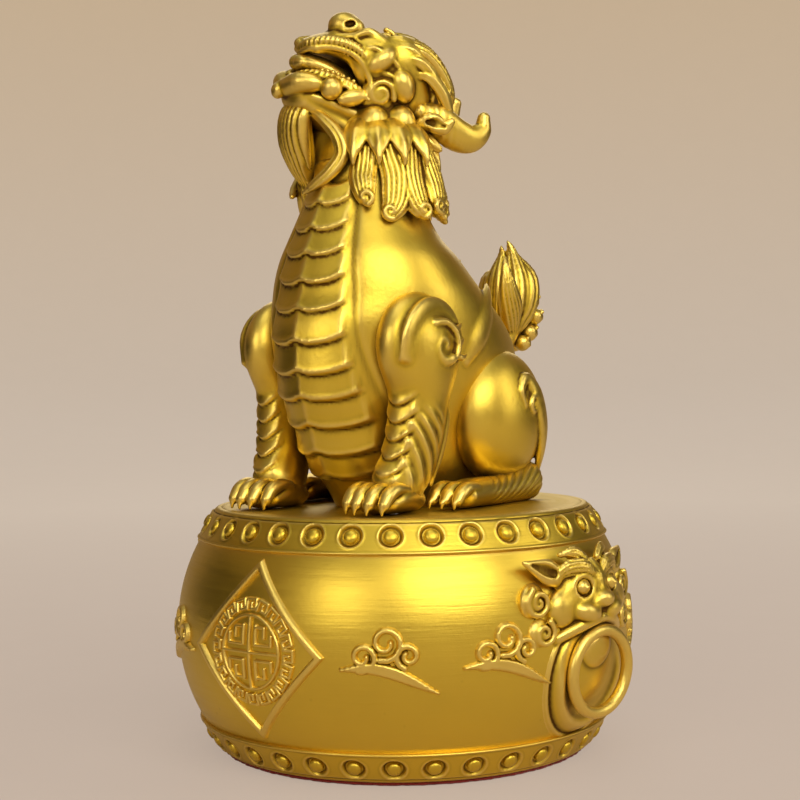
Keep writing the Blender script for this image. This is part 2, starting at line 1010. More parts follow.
@dataclass(frozen=True)
class Felt:
    """Short red felt."""

    name: str = "red_felt"
    colour: tuple[float, float, float] = (0.30, 0.018, 0.012)

    def build(self) -> bpy.types.Material:
        """Makes the material.

        Returns:
            The material.
        """
        shader = Shader(self.name)
        place = shader.position()
        fibre = shader.noise(place, 1500.0, 4.0, 0.7)
        patch = shader.noise(place, 130.0, 3.0, 0.6)
        dark = (*(c * 0.45 for c in self.colour), 1)
        colour = shader.mix((fibre * 0.7 + patch * 0.5).held(), dark, (*self.colour, 1))
        normal = shader.bump(fibre + patch * 0.4, 0.6, 0.0005)
        surface = shader.node("ShaderNodeBsdfPrincipled", Base_Color=colour, Roughness=0.95, Sheen_Weight=0.4,
                              Normal=normal)
        return shader.finish(surface)


@dataclass(frozen=True)
class Steel:
    """Plain turned steel."""

    name: str = "screw_steel"

    def build(self) -> bpy.types.Material:
        """Makes the material.

        Returns:
            The material.
        """
        shader = Shader(self.name)
        place = shader.position()
        mark = shader.noise(place, 700.0, 3.0, 0.6)
        colour = shader.mix(mark, (0.36, 0.36, 0.37, 1), (0.55, 0.55, 0.56, 1))
        surface = shader.node("ShaderNodeBsdfPrincipled", Metallic=1.0, Base_Color=colour,
                              Roughness=mark * 0.2 + 0.3, Normal=shader.bump(mark, 0.15, 0.0002))
        return shader.finish(surface)


# ---------------------------------------------------------------- drum
@dataclass
class Drum:
    """The barrel drum: side, studded bands, head, closing plate and felt, with its relief.

    All sizes are in millimetres.
    """

    foot: float = 1.0
    top: float = HEAD_TOP
    belly: float = 60.0
    arc: float = 46.0
    rim: float = 50.0
    band: float = 8.0
    proud: float = 0.9
    edge: float = 1.2
    studs: int = 34
    stud_phase: float = 2.8
    stud_radius: float = 1.85
    recess: float = 2.8
    recess_depth: float = 0.8
    above_line: float = 4.9
    felt_radius: float = 49.0

    @property
    def middle(self) -> float:
        """Height of the belly."""
        return (self.foot + self.top) / 2

    @property
    def line(self) -> float:
        """From the belly's height to a band's edge."""
        return (self.top - self.foot) / 2 - self.band

    def side(self, height: Array) -> Array:
        """Radius of the barrel's side at heights over the belly's height."""
        return self.belly - self.arc + np.sqrt(self.arc ** 2 - np.asarray(height) ** 2)

    def build(self, shop: Workshop, finish: bpy.types.Material, plain: bpy.types.Material,
              felt: bpy.types.Material) -> None:
        """Makes the barrel, its bands, studs, relief and felt.

        Args:
            shop: the workshop.
            finish: brushed brass.
            plain: cast brass without ageing attributes.
            felt: the felt under the foot.
        """
        heights = np.linspace(-self.line - 0.4, self.line + 0.4, 62)
        side = [(float(self.side(h)), self.middle + float(h)) for h in heights]
        lip = self.rim - self.edge
        head = [(r, self.top) for r in (lip - 0.6, lip - 2.0, lip - 5.0, 36.0, 24.0, 12.0, 3.0)]
        inner = [(3.0, self.top - 3.5), (44.0, self.top - 3.5), (53.0, self.middle + 20.0), (56.8, self.middle),
                 (53.0, self.middle - 20.0), (46.0, self.foot + 3.0), (46.0, self.foot + 0.1),
                 (49.0, self.foot + 0.1)]
        shop.turned("drum_barrel", side + head + inner, 540, finish, Slot.DRUM, ["drum_shell"])
        for upper in (True, False):
            self._band(shop, finish, upper)
        self._studs(shop, plain)
        self._felt(shop, felt)

    def _seat(self, upper: bool) -> tuple[Vector, Vector, Vector]:
        """A band's start, its direction towards the drum's end, and its outward normal, at azimuth 0.

        Args:
            upper: whether it is the upper one.

        Returns:
            The three vectors.
        """
        sign = 1 if upper else -1
        start = Vector((float(self.side(self.line)) + self.proud, 0, self.middle + sign * self.line))
        end = Vector((self.rim, 0, self.top if upper else self.foot))
        slope = (end - start).normalized()
        normal = Vector((abs(slope.z), 0, -slope.x * sign if slope.z > 0 else slope.x))
        normal = Vector((abs(slope.z), 0, abs(slope.x) * sign))
        return start, slope, normal.normalized()

    def _band(self, shop: Workshop, finish: bpy.types.Material, upper: bool) -> None:
        """One studded band, with a round dish for each stud.

        Args:
            shop: where the pieces are made.
            finish: its material.
            upper: whether it is the upper one.
        """
        start, slope, normal = self._seat(upper)
        sign = 1 if upper else -1
        end_z = self.top if upper else self.foot
        face_length = (Vector((self.rim, 0, end_z)) - start).length
        lines = [(start.x - self.proud - 1.0, start.z)]
        for t in np.linspace(0, 1, 5):
            angle = math.pi / 2 * t
            soft = 0.45
            lines.append((start.x - soft + soft * math.sin(angle), start.z + sign * soft * (1 - math.cos(angle))))
        for t in np.linspace(0.09, 0.86, 26):
            spot = start + slope * (face_length * t)
            lines.append((spot.x, spot.z))
        for t in np.linspace(0.1, 1, 6):
            angle = math.pi / 2 * t
            lines.append((self.rim - self.edge + self.edge * math.cos(angle),
                          end_z - sign * self.edge * (1 - math.sin(angle))))
        lines += [(lines[-1][0] - 2.0, end_z - sign * 0.05), (lines[-1][0] - 2.0, end_z - sign * 3.0),
                  (start.x - 4.5, start.z + sign * 0.8)]
        spot = start + slope * self.above_line
        phases = np.radians(np.array([self.stud_phase + 360 / self.studs * i - 90 for i in range(self.studs)]))

        def dished(points: Array, angles: Array) -> Array:
            """Sinks the round dishes.

            Args:
                points: places in millimetres, one a row.
                angles: their angles about the axis, in radians.

            Returns:
                How far each point moves.
            """
            gap = np.abs((angles[:, None] - phases[None] + math.pi) % (2 * math.pi) - math.pi).min(axis=1)
            around = gap * spot.x
            height = (points[:, 2] - spot.z) / slope.z
            away = np.sqrt(around ** 2 + height ** 2)
            outside = np.hypot(points[:, 0], points[:, 1]) > spot.x - 2.6
            depth = (1 - ramp(away, self.recess - 0.55, self.recess + 0.25)) * self.recess_depth * outside
            lip = np.exp(-((away - self.recess - 0.35) / 0.3) ** 2) * 0.12 * outside
            push = -(depth - lip)[:, None]
            out = np.stack([np.cos(angles) * normal.x, np.sin(angles) * normal.x,
                            np.full(len(angles), normal.z)], axis=1)
            return out * push

        shop.turned("drum_band_upper" if upper else "drum_band_lower", lines, 1224, finish, Slot.DRUM,
                    ["drum_shell"], dished)

    def _studs(self, shop: Workshop, finish: bpy.types.Material) -> None:
        """The studs of both bands, each standing in its dish.

        Args:
            shop: where the pieces are made.
            finish: its material.
        """
        for upper in (True, False):
            start, slope, normal = self._seat(upper)
            spot = start + slope * self.above_line - normal * self.recess_depth
            sign = 1 if upper else -1
            ring = StudRing(self.studs, spot.x * MM, spot.z * MM, self.stud_phase - 90.0,
                            math.degrees(math.atan2(normal.x, normal.z)), self.stud_radius * MM, 1.5 * MM)
            name = "drum_studs_upper" if sign > 0 else "drum_studs_lower"
            shop.dress(ring.build(name, finish), finish, [name])

    def _felt(self, shop: Workshop, finish: bpy.types.Material) -> None:
        """The felt disc, with a slightly ragged rim.

        Args:
            shop: where the pieces are made.
            finish: its material.
        """
        r = self.felt_radius
        profile = [(1.0, 0.02), (r - 0.6, 0.02), (r - 0.1, 0.25), (r, 0.55), (r - 0.3, 0.98), (1.0, 0.98)]

        def ragged(points: Array, angles: Array) -> Array:
            """Small waves of the cut edge.

            Args:
                points: places in millimetres, one a row.
                angles: their angles about the axis, in radians.

            Returns:
                How far each point moves.
            """
            wave = 0.10 * np.sin(angles * 37 + 1) + 0.08 * np.sin(angles * 91 + 2) + 0.06 * np.sin(angles * 143)
            rim = (np.hypot(points[:, 0], points[:, 1]) > r - 1.5) * (wave - 0.25)
            return np.stack([np.cos(angles) * rim, np.sin(angles) * rim, 0 * rim], axis=1)

        shop.turned("felt_disc", profile, 720, finish, Slot.FELT, ["felt_pad"], ragged)


@dataclass
class StudRing:
    """Domed studs in a ring, placed by Geometry Nodes. Sizes are in metres and degrees.

    Attributes:
        count: number of studs.
        ring: radius of the ring at the studs' feet.
        height: height of the ring.
        phase: angle of the first stud from +X.
        lean: lean of a stud from upright, outwards.
        radius: a stud's radius.
        rise: a stud's height.
    """

    count: int
    ring: float
    height: float
    phase: float
    lean: float
    radius: float
    rise: float

    def _dome(self, finish: bpy.types.Material) -> bpy.types.Object:
        """One stud, standing on the origin.

        Args:
            finish: its material.

        Returns:
            The stud.
        """
        rows = [(1.0, 0.0), (1.0, 0.38), (0.93, 0.6), (0.74, 0.82), (0.42, 0.95)]
        points, faces = [], []
        count = 16
        for r, z in rows:
            points += [(r * self.radius * math.cos(2 * math.pi * k / count),
                        r * self.radius * math.sin(2 * math.pi * k / count), z * self.rise) for k in range(count)]
        points += [(0, 0, 0), (0, 0, self.rise)]
        foot, tip = len(points) - 2, len(points) - 1
        for i in range(len(rows) - 1):
            for k in range(count):
                n = (k + 1) % count
                faces.append((i * count + k, i * count + n, (i + 1) * count + n, (i + 1) * count + k))
        last = (len(rows) - 1) * count
        for k in range(count):
            n = (k + 1) % count
            faces += [(n, k, foot), (last + k, last + n, tip)]
        mesh = bpy.data.meshes.new("stud")
        mesh.from_pydata(points, [], faces)
        mesh.materials.append(finish)
        for polygon in mesh.polygons:
            polygon.use_smooth = True
        return bpy.data.objects.new("stud", mesh)

    def build(self, name: str, finish: bpy.types.Material) -> bpy.types.Object:
        """The ring of studs as one plain mesh object.

        Args:
            name: its name.
            finish: its material.

        Returns:
            The ring of studs.
        """
        tree = bpy.data.node_groups.new(name + "_ring", "GeometryNodeTree")
        face = tree.interface
        face.new_socket("Geometry", in_out="INPUT", socket_type="NodeSocketGeometry")
        sizes = {"Count": ("NodeSocketInt", self.count), "Ring radius": ("NodeSocketFloat", self.ring),
                 "Height": ("NodeSocketFloat", self.height), "Phase": ("NodeSocketFloat", math.radians(self.phase)),
                 "Lean": ("NodeSocketFloat", math.radians(self.lean))}
        keys = {key: face.new_socket(key, in_out="INPUT", socket_type=kind).identifier
                for key, (kind, _) in sizes.items()}
        face.new_socket("Geometry", in_out="OUTPUT", socket_type="NodeSocketGeometry")
        nodes, links = tree.nodes, tree.links
        start, end = nodes.new("NodeGroupInput"), nodes.new("NodeGroupOutput")
        points = nodes.new("GeometryNodePoints")
        links.new(start.outputs["Count"], points.inputs["Count"])
        index = nodes.new("GeometryNodeInputIndex")
        share = self._maths(tree, "DIVIDE", index.outputs[0], start.outputs["Count"])
        turn = self._maths(tree, "MULTIPLY_ADD", share, 2 * math.pi, start.outputs["Phase"])
        x = self._maths(tree, "MULTIPLY", self._maths(tree, "COSINE", turn), start.outputs["Ring radius"])
        y = self._maths(tree, "MULTIPLY", self._maths(tree, "SINE", turn), start.outputs["Ring radius"])
        spot, spin = nodes.new("ShaderNodeCombineXYZ"), nodes.new("ShaderNodeCombineXYZ")
        for socket, source in zip(spot.inputs, (x, y, start.outputs["Height"])):
            links.new(source, socket)
        links.new(start.outputs["Lean"], spin.inputs["Y"])
        links.new(turn, spin.inputs["Z"])
        links.new(spot.outputs[0], points.inputs["Position"])
        stud = self._dome(finish)
        info = nodes.new("GeometryNodeObjectInfo")
        info.inputs["Object"].default_value = stud
        place = nodes.new("GeometryNodeInstanceOnPoints")
        links.new(points.outputs[0], place.inputs["Points"])
        links.new(info.outputs["Geometry"], place.inputs["Instance"])
        links.new(spin.outputs[0], place.inputs["Rotation"])
        real = nodes.new("GeometryNodeRealizeInstances")
        coat = nodes.new("GeometryNodeSetMaterial")
        coat.inputs["Material"].default_value = finish
        links.new(place.outputs[0], real.inputs[0])
        links.new(real.outputs[0], coat.inputs["Geometry"])
        links.new(coat.outputs[0], end.inputs[0])
        carrier = bpy.data.objects.new(name, bpy.data.meshes.new(name + "_carrier"))
        bpy.context.scene.collection.objects.link(carrier)
        modifier = carrier.modifiers.new("ring", "NODES")
        modifier.node_group = tree
        for key, (_, value) in sizes.items():
            modifier[keys[key]] = value
        ready = carrier.evaluated_get(bpy.context.evaluated_depsgraph_get())
        mesh = bpy.data.meshes.new_from_object(ready)
        carrier.modifiers.clear()
        carrier.data = mesh
        return carrier

    @staticmethod
    def _maths(tree: bpy.types.NodeTree, kind: str, *sources: object) -> bpy.types.NodeSocket:
        """A Math node in a geometry tree.

        Args:
            tree: the tree.
            kind: the node's operation.
            sources: its sockets or values.

        Returns:
            The node's result.
        """
        node = tree.nodes.new("ShaderNodeMath")
        node.operation = kind
        for slot, source in zip(node.inputs, sources):
            if isinstance(source, bpy.types.NodeSocket):
                tree.links.new(source, slot)
            else:
                slot.default_value = source
        return node.outputs[0]


# ---------------------------------------------------------------- relief on the barrel
def line_gap(u: Array, v: Array, start: Point, end: Point) -> Array:
    """Distance in the flat from points to a straight line between two ends.

    Args:
        u: distances along the barrel.
        v: heights on the barrel.
        start: the line's start.
        end: the line's end.

    Returns:
        The distances.
    """
    du, dv = end[0] - start[0], end[1] - start[1]
    length = max(du * du + dv * dv, 1e-9)
    t = np.clip(((u - start[0]) * du + (v - start[1]) * dv) / length, 0, 1)
    return np.hypot(u - start[0] - du * t, v - start[1] - dv * t)


@dataclass
class Relief:
    """Raised ornaments on the barrel: diamonds, round frets and cloud scrolls. Sizes in millimetres."""

    drum: Drum
    half_width: float = 20.5
    half_height: float = 22.0
    bar: float = 2.3
    ring: float = 9.2
    wire: float = 0.42
    fret_inner: float = 9.75
    fret_outer: float = 12.9
    keys: int = 20
    cloud_scale: float = 1.3
    cloud_angles: tuple[float, float] = (33.0, 60.5)

    def patch(self, shop: Workshop, name: str, half: Point, centre: Point, step: float,
              height: Callable[[Array, Array], Array], turns: Sequence[float], flips: Sequence[bool],
              finish: bpy.types.Material, nodes: Sequence[str]) -> None:
        """Raised plates bent round the barrel, as one closed piece.

        Args:
            shop: the workshop.
            name: the piece's name.
            half: half width and half height of a plate.
            centre: its middle, across and up from the belly.
            step: size of a quad.
            height: rise over the barrel; below zero it is under the barrel's skin.
            turns: degrees from the front of each plate.
            flips: whether each is a mirror image.
            finish: its material.
            nodes: frame nodes that it stands for.
        """
        across, up = int(2 * half[0] / step), int(2 * half[1] / step)
        u, v = np.meshgrid(np.linspace(-half[0], half[0], across) + centre[0],
                           np.linspace(-half[1], half[1], up) + centre[1], indexing="ij")
        rise = height(u, v)
        radius = self.drum.side(v) + rise
        cell = np.arange(across * up).reshape(across, up)
        quads = np.stack([cell[:-1, :-1], cell[1:, :-1], cell[1:, 1:], cell[:-1, 1:]], axis=-1).reshape(-1, 4)
        sunk = (rise < -0.15).ravel()
        quads = quads[~sunk[quads].all(axis=1)]
        all_points, all_quads, offset = [], [], 0
        for turn, flip in zip(turns, flips):
            spin = np.arcsin(np.clip(u / self.drum.belly, -1, 1)) * (-1 if flip else 1) + math.radians(turn)
            outer = np.stack([radius * np.sin(spin), -radius * np.cos(spin), v + self.drum.middle], -1)
            inner_radius = self.drum.side(v) - 0.9
            inner = np.stack([inner_radius * np.sin(spin), -inner_radius * np.cos(spin), v + self.drum.middle], -1)
            points = np.vstack([outer.reshape(-1, 3), inner.reshape(-1, 3)])
            front = quads[:, ::-1] if flip else quads
            ends = np.concatenate([front[:, [0, 1]], front[:, [1, 2]], front[:, [2, 3]], front[:, [3, 0]]])
            keys = ends[:, 0].astype(np.int64) * (across * up) + ends[:, 1]
            back_keys = ends[:, 1].astype(np.int64) * (across * up) + ends[:, 0]
            rim = ends[~np.isin(keys, back_keys)]
            walls = np.stack([rim[:, 1], rim[:, 0], rim[:, 0] + across * up, rim[:, 1] + across * up], axis=1)
            back = front[:, ::-1] + across * up
            all_points.append(points)
            all_quads.append(np.concatenate([front, walls, back]) + offset)
            offset += len(points)
        points, faces = np.vstack(all_points), np.concatenate(all_quads)
        used = np.unique(faces)
        renumber = np.zeros(len(points), dtype=np.int64)
        renumber[used] = np.arange(len(used))
        points, faces = points[used], renumber[faces]
        thing = mesh_object(name, points, faces)
        shop.sculpted.append((thing, points, faces, step))
        shop.dress(thing, finish, nodes)

    def _diamond(self, u: Array, v: Array) -> Array:
        """Rise of the diamond's bar, with soft cast edges.

        Args:
            u: distances along the barrel.
            v: heights on the barrel.

        Returns:
            The rise in millimetres.
        """
        scale = self.half_width * self.half_height / math.hypot(self.half_width, self.half_height)
        depth = (1 - np.abs(u) / self.half_width - np.abs(v) / self.half_height) * scale
        bar = ramp(depth, -0.1, 0.6) * (1 - ramp(depth, self.bar - 0.6, self.bar + 0.1))
        crown = 0.18 * np.sin(np.clip(depth / self.bar, 0, 1) * math.pi)
        return bar * (0.95 + crown + 0.35) - 0.35

    def _fret(self, u: Array, v: Array) -> Array:
        """Rise of the lattice in its round frame, and of the keys around it.

        Args:
            u: distances along the barrel.
            v: heights on the barrel.

        Returns:
            The rise in millimetres.
        """
        away = np.hypot(u, v)
        gap = np.abs(away - self.ring + self.wire)
        a, b = np.abs(u), np.abs(v)
        base, far = 1.9, self.ring - 0.5
        lines = [((0, 0), (0, far)), ((0, 0), (far, 0)), ((base, base), (6.6, base)), ((base, base), (base, 6.4)),
                 ((base, 6.0), (4.5, 6.0)), ((4.5, 3.6), (4.5, 6.0)), ((6.6, base), (6.6, 4.2))]
        for start, end in lines:
            gap = np.minimum(gap, line_gap(a, b, start, end))
        sector = 2 * math.pi / self.keys
        angle = (np.arctan2(u, v) + sector / 2) % sector - sector / 2
        x, y = away * np.sin(angle), away * np.cos(angle)
        half = sector / 2 * (self.fret_inner + self.fret_outer) / 2 - 0.42
        low, high = self.fret_inner + 0.35, self.fret_outer - 0.35
        corners = [(-half, low), (-half, high), (half, high), (half, low + 0.2), (0.0, low + 0.2), (0.0, low + 1.5)]
        for start, end in zip(corners, corners[1:]):
            gap = np.minimum(gap, line_gap(x, y, start, end))
        return (1 - ramp(gap, self.wire - 0.2, self.wire + 0.16)) * 1.15 - 0.4

    @staticmethod
    def _cloud(u: Array, v: Array) -> Array:
        """Rise of a cloud scroll: three curled lobes over a long ribbon.

        Args:
            u: distances along the barrel.
            v: heights on the barrel.

        Returns:
            The rise in millimetres.
        """
        gap = np.full(u.shape, 9.0)
        for x, y, r, wind in ((-3.7, 0.4, 2.6, 1), (0.4, 2.9, 3.2, 1), (4.4, 0.6, 2.3, -1)):
            for i in range(20):
                t0, t1 = i / 20, (i + 1) / 20
                a0, a1 = (wind * (2.1 * math.pi * t * 1.25) - math.pi * 0.6 for t in (t0, t1))
                s0, s1 = (r * (1 - 0.72 * t) for t in (t0, t1))
                gap = np.minimum(gap, line_gap(u, v, (x + s0 * math.cos(a0), y + s0 * math.sin(a0)),
                                               (x + s1 * math.cos(a1), y + s1 * math.sin(a1))) + 0.15 * t0)
        ribbon = []
        for i in range(17):
            t = i / 16
            ribbon.append((-7.6 + 17.2 * t, -1.9 - 3.4 * t + 1.5 * math.sin(t * math.pi * 1.2), 0.25 + 0.85 * math.sin(
                math.pi * min(1.0, t * 1.05 + 0.02))))
        for (x0, y0, w0), (x1, y1, _) in zip(ribbon, ribbon[1:]):
            gap = np.minimum(gap, line_gap(u, v, (x0, y0), (x1, y1)) - w0 + 0.55)
        return (1 - ramp(gap, 0.25, 0.95)) * 1.5 - 0.4

    def build(self, shop: Workshop, finish: bpy.types.Material) -> None:
        """Makes all the relief.

        Args:
            shop: where the pieces are made.
            finish: its material.
        """
        for name, turn in (("front", 0.0), ("back", 180.0)):
            self.patch(shop, "diamond_" + name, (21.4, 23.0), (0, 0), 0.24, self._diamond, [turn], [False], finish,
                       ["diamond_" + name])
            self.patch(shop, "medallion_" + name, (13.3, 13.3), (0, 0), 0.14, self._fret, [turn], [False], finish,
                       ["medallion_" + name])
        turns, flips = [], []
        for around in (0.0, 180.0):
            for angle in self.cloud_angles:
                turns += [around + angle, around - angle]
                flips += [False, True]
        big = self.cloud_scale
        self.patch(shop, "cloud_scrolls", (10.6 * big, 8.4 * big), (0.8 * big, 0.0), 0.24,
                   lambda u, v: self._cloud(u / big, v / big), turns, flips, finish, ["cloud_motifs"])


# ---------------------------------------------------------------- lion masks
@dataclass
class LionMask:
    """A lion's face on the barrel that bites a fixed ring, worked out at the front and turned aside."""

    face_voxel: float = 0.36
    ring_voxel: float = 0.34
    belly: float = 60.0
    ring_radius: float = 10.1
    wire: float = 1.5
    ring_height: float = 24.9
    lean: float = 4.0
    swing: float = 8.0
    forward: float = 2.2
    boss_radius: float = 14.8
    boss_rise: float = 1.0

    def _surface(self, points: Array) -> Array:
        """How far points stand out of the barrel.

        Args:
            points: places in millimetres, one a row.

        Returns:
            How far out each one is.
        """
        height = np.clip(points[:, 2] - 32.25, -24, 24)
        side = self.belly - 46.0 + np.sqrt(46.0 ** 2 - height ** 2)
        return np.hypot(points[:, 0], points[:, 1]) - side

    def face(self) -> Form:
        """The face, with its ears, brows, eyes, nose, curled cheeks and lip.

        Returns:
            The face, turned to the front.
        """
        y = -self.belly
        front = (0, -1, 0)
        parts = egg((0, y + 1.4, 43.6), (12.4, 4.2, 8.0))
        wing = egg((2.4, y - 2.3, 42.1), (1.8, 1.8, 1.5)).both()
        nose = egg((0, y - 3.0, 42.9), (3.2, 2.6, 2.2)).join(wing, soft=0.7)
        muzzle = egg((4.8, y - 1.2, 39.9), (4.8, 3.2, 2.8), roll=-12).both(soft=1.0)
        bridge = strand([(0, y - 2.2, 45.0, 1.6, 1.2), (0, y - 1.5, 48.2, 2.2, 1.3), (0, y + 0.3, 51.6, 1.6, 1.0)],
                        out=front, ribs=Ribs(5, 0.3))
        lip = strand([(0, y - 2.2, 38.2, 1.4, 1.4), (5.0, y - 1.8, 37.5, 1.5, 1.5), (10.0, y + 0.3, 35.6, 1.5, 1.4),
                      (13.8, y + 2.0, 34.0, 1.2, 1.0), (16.2, y + 3.2, 34.4, 0.7, 0.6)], out=front).both(soft=0.3)
        cheek = egg((10.4, y + 2.0, 41.2), (5.6, 3.2, 5.0)).both()
        rim = [(math.cos(turn), math.sin(turn)) for turn in np.linspace(0, 2 * math.pi, 9)]
        socket = strand([(5.9 + 3.3 * c, y - 1.0 + 0.7 * c, 46.0 + 2.7 * h, 0.7, 0.7) for c, h in rim],
                        out=front).both()
        eye = egg((5.9, y - 0.9, 46.0), (2.2, 1.8, 1.9)).both()
        pupil = egg((6.1, y - 2.7, 46.0), (0.6, 0.5, 0.6)).both()
        brow = strand([(1.7, y - 1.4, 48.8, 1.4, 1.1), (5.2, y - 0.7, 50.6, 2.3, 1.4), (10.2, y + 1.2, 50.2, 2.2, 1.3),
                       (13.2, y + 2.6, 47.8, 0.9, 0.8)], out=front, ribs=Ribs(5, 0.5, 0.8)).both(soft=0.3)
        tuft = strand([(2.8, y + 0.4, 52.2, 1.5, 1.0), (6.0, y + 1.4, 54.0, 1.8, 1.0), (9.8, y + 3.0, 53.8, 0.7, 0.6)],
                      out=front, ribs=Ribs(4, 0.4)).both(soft=0.3)
        ear = strand([(11.6, y + 2.4, 48.6, 2.6, 1.3), (14.8, y + 3.0, 50.2, 3.2, 1.5), (18.2, y + 4.2, 51.6, 1.9, 1.1),
                      (21.0, y + 5.6, 52.8, 0.5, 0.5)], out=front).both()
        bowl = strand([(13.6, y + 1.6, 49.8, 1.1, 0.9), (16.4, y + 2.2, 51.0, 1.5, 1.1),
                       (19.4, y + 4.0, 52.2, 0.5, 0.5)], out=front).both()
        high = egg((18.6, y + 5.2, 43.4), (4.5, 2.4, 4.5)).join(
            curl((18.6, y + 3.0, 43.4), 3.8, 0.8, 1.8, (0.3, -1, 0), 120), soft=0.25).both(soft=0.3)
        low = egg((17.6, y + 4.2, 36.0), (3.9, 2.3, 3.9)).join(
            curl((17.6, y + 2.1, 36.0), 3.2, 0.75, -1.6, (0.3, -1, 0), 60), soft=0.25).both(soft=0.3)
        form = parts.join(cheek, muzzle, nose, bridge, soft=1.2).join(lip, brow, tuft, high, low, soft=0.4)
        form = form.cut(egg((5.9, y - 1.6, 46.0), (2.9, 1.5, 2.4)).both(), soft=0.3)
        return form.join(eye, socket, soft=0.2).join(pupil, soft=0.1).join(ear, soft=0.6).cut(bowl, soft=0.3)

    def _ring(self, side: Side, thicker: float = 0.0) -> Form:
        """The ring, which leans and swings a little forward.

        Args:
            side: the side of the drum that it hangs on.
            thicker: how much the wire is grown, in millimetres.

        Returns:
            The ring's form, in the mask's own frame.
        """
        lean, swing = math.radians(self.lean), math.radians(self.swing) * side.value
        centre = np.array([0, -(self.belly + 1.9), self.ring_height], dtype=np.float32)
        across = np.array([math.cos(swing), -math.sin(swing), 0], dtype=np.float32)
        out = np.array([-math.sin(swing) * math.cos(lean), -math.cos(swing) * math.cos(lean), -math.sin(lean)],
                       dtype=np.float32)
        up = np.cross(across, out).astype(np.float32)
        wire = self.wire + thicker

        def distance(points: Array) -> Array:
            """Distance to the ring.

            Args:
                points: places in millimetres, one a row.

            Returns:
                Their distances.
            """
            local = points - centre
            around = np.hypot(local @ across, local @ up) - self.ring_radius
            return np.hypot(around, local @ out) - wire

        reach = self.ring_radius + wire
        return Form(distance, centre - (reach, wire + 3.2, reach), centre + (reach, wire + 3.2, reach))

    def boss(self) -> Form:
        """The cushion behind the ring with its rolled rim, and the tongue in the ring.

        Returns:
            The cushion with the tongue.
        """
        y = -self.belly
        centre = self.ring_height - 0.8

        def distance(points: Array) -> Array:
            """Distance to the cushion on the barrel.

            Args:
                points: places in millimetres, one a row.

            Returns:
                Their distances.
            """
            drop = centre - points[:, 2]
            away = np.hypot(points[:, 0], drop)
            proud = self._surface(points)
            lower = ramp(drop, -6.0, 3.0)
            rise = self.boss_rise * (1 - ramp(away, self.boss_radius - 1.2, self.boss_radius + 0.2))
            rise = rise + 1.1 * lower * np.exp(-((away - self.boss_radius + 2.0) / 1.5) ** 2)
            rise = rise + 0.6 * np.exp(-((away - self.boss_radius - 1.2) / 0.5) ** 2)
            return np.maximum(proud - rise, np.maximum(away - self.boss_radius - 2.2, -2.0 - proud)).astype(np.float32)

        reach = self.boss_radius + 2.3
        disc = Form(distance, (-reach, y - 2.4, centre - reach), (reach, y + 8, centre + reach))
        tongue = egg((0, y - 0.4, 31.4), (6.6, 2.1, 5.6))
        seam = curl((0, y - 2.1, 31.2), 4.6, 0.5, 1.0, (0, -1, 0), 90, 0.0)
        return disc.join(tongue, soft=0.5).join(seam, soft=0.2)

    def build(self, shop: Workshop, finish: bpy.types.Material) -> None:
        """Makes both masks with their rings.

        Args:
            shop: where the pieces are made.
            finish: the brass.
        """
        lowest = Form(lambda p: self._surface(p) + 1.0, (-30, -70, 5), (30, -20, 60))
        face = self.face().join(self.boss(), soft=0.4)
        for side in Side:
            turn = turned_frame(yaw=90.0 * side.value - self.forward * side.value)
            mask = face.cut(lowest, self._ring(side, 0.06), soft=0.1)
            shop.sculpt("lion_face_" + side.word, mask.placed(turn, (0, 0, 0)), self.face_voxel, finish,
                        ["lion_mask_" + side.word])
            shop.sculpt("fixed_ring_" + side.word, self._ring(side).placed(turn, (0, 0, 0)), self.ring_voxel,
                        finish, ["ring_" + side.word])


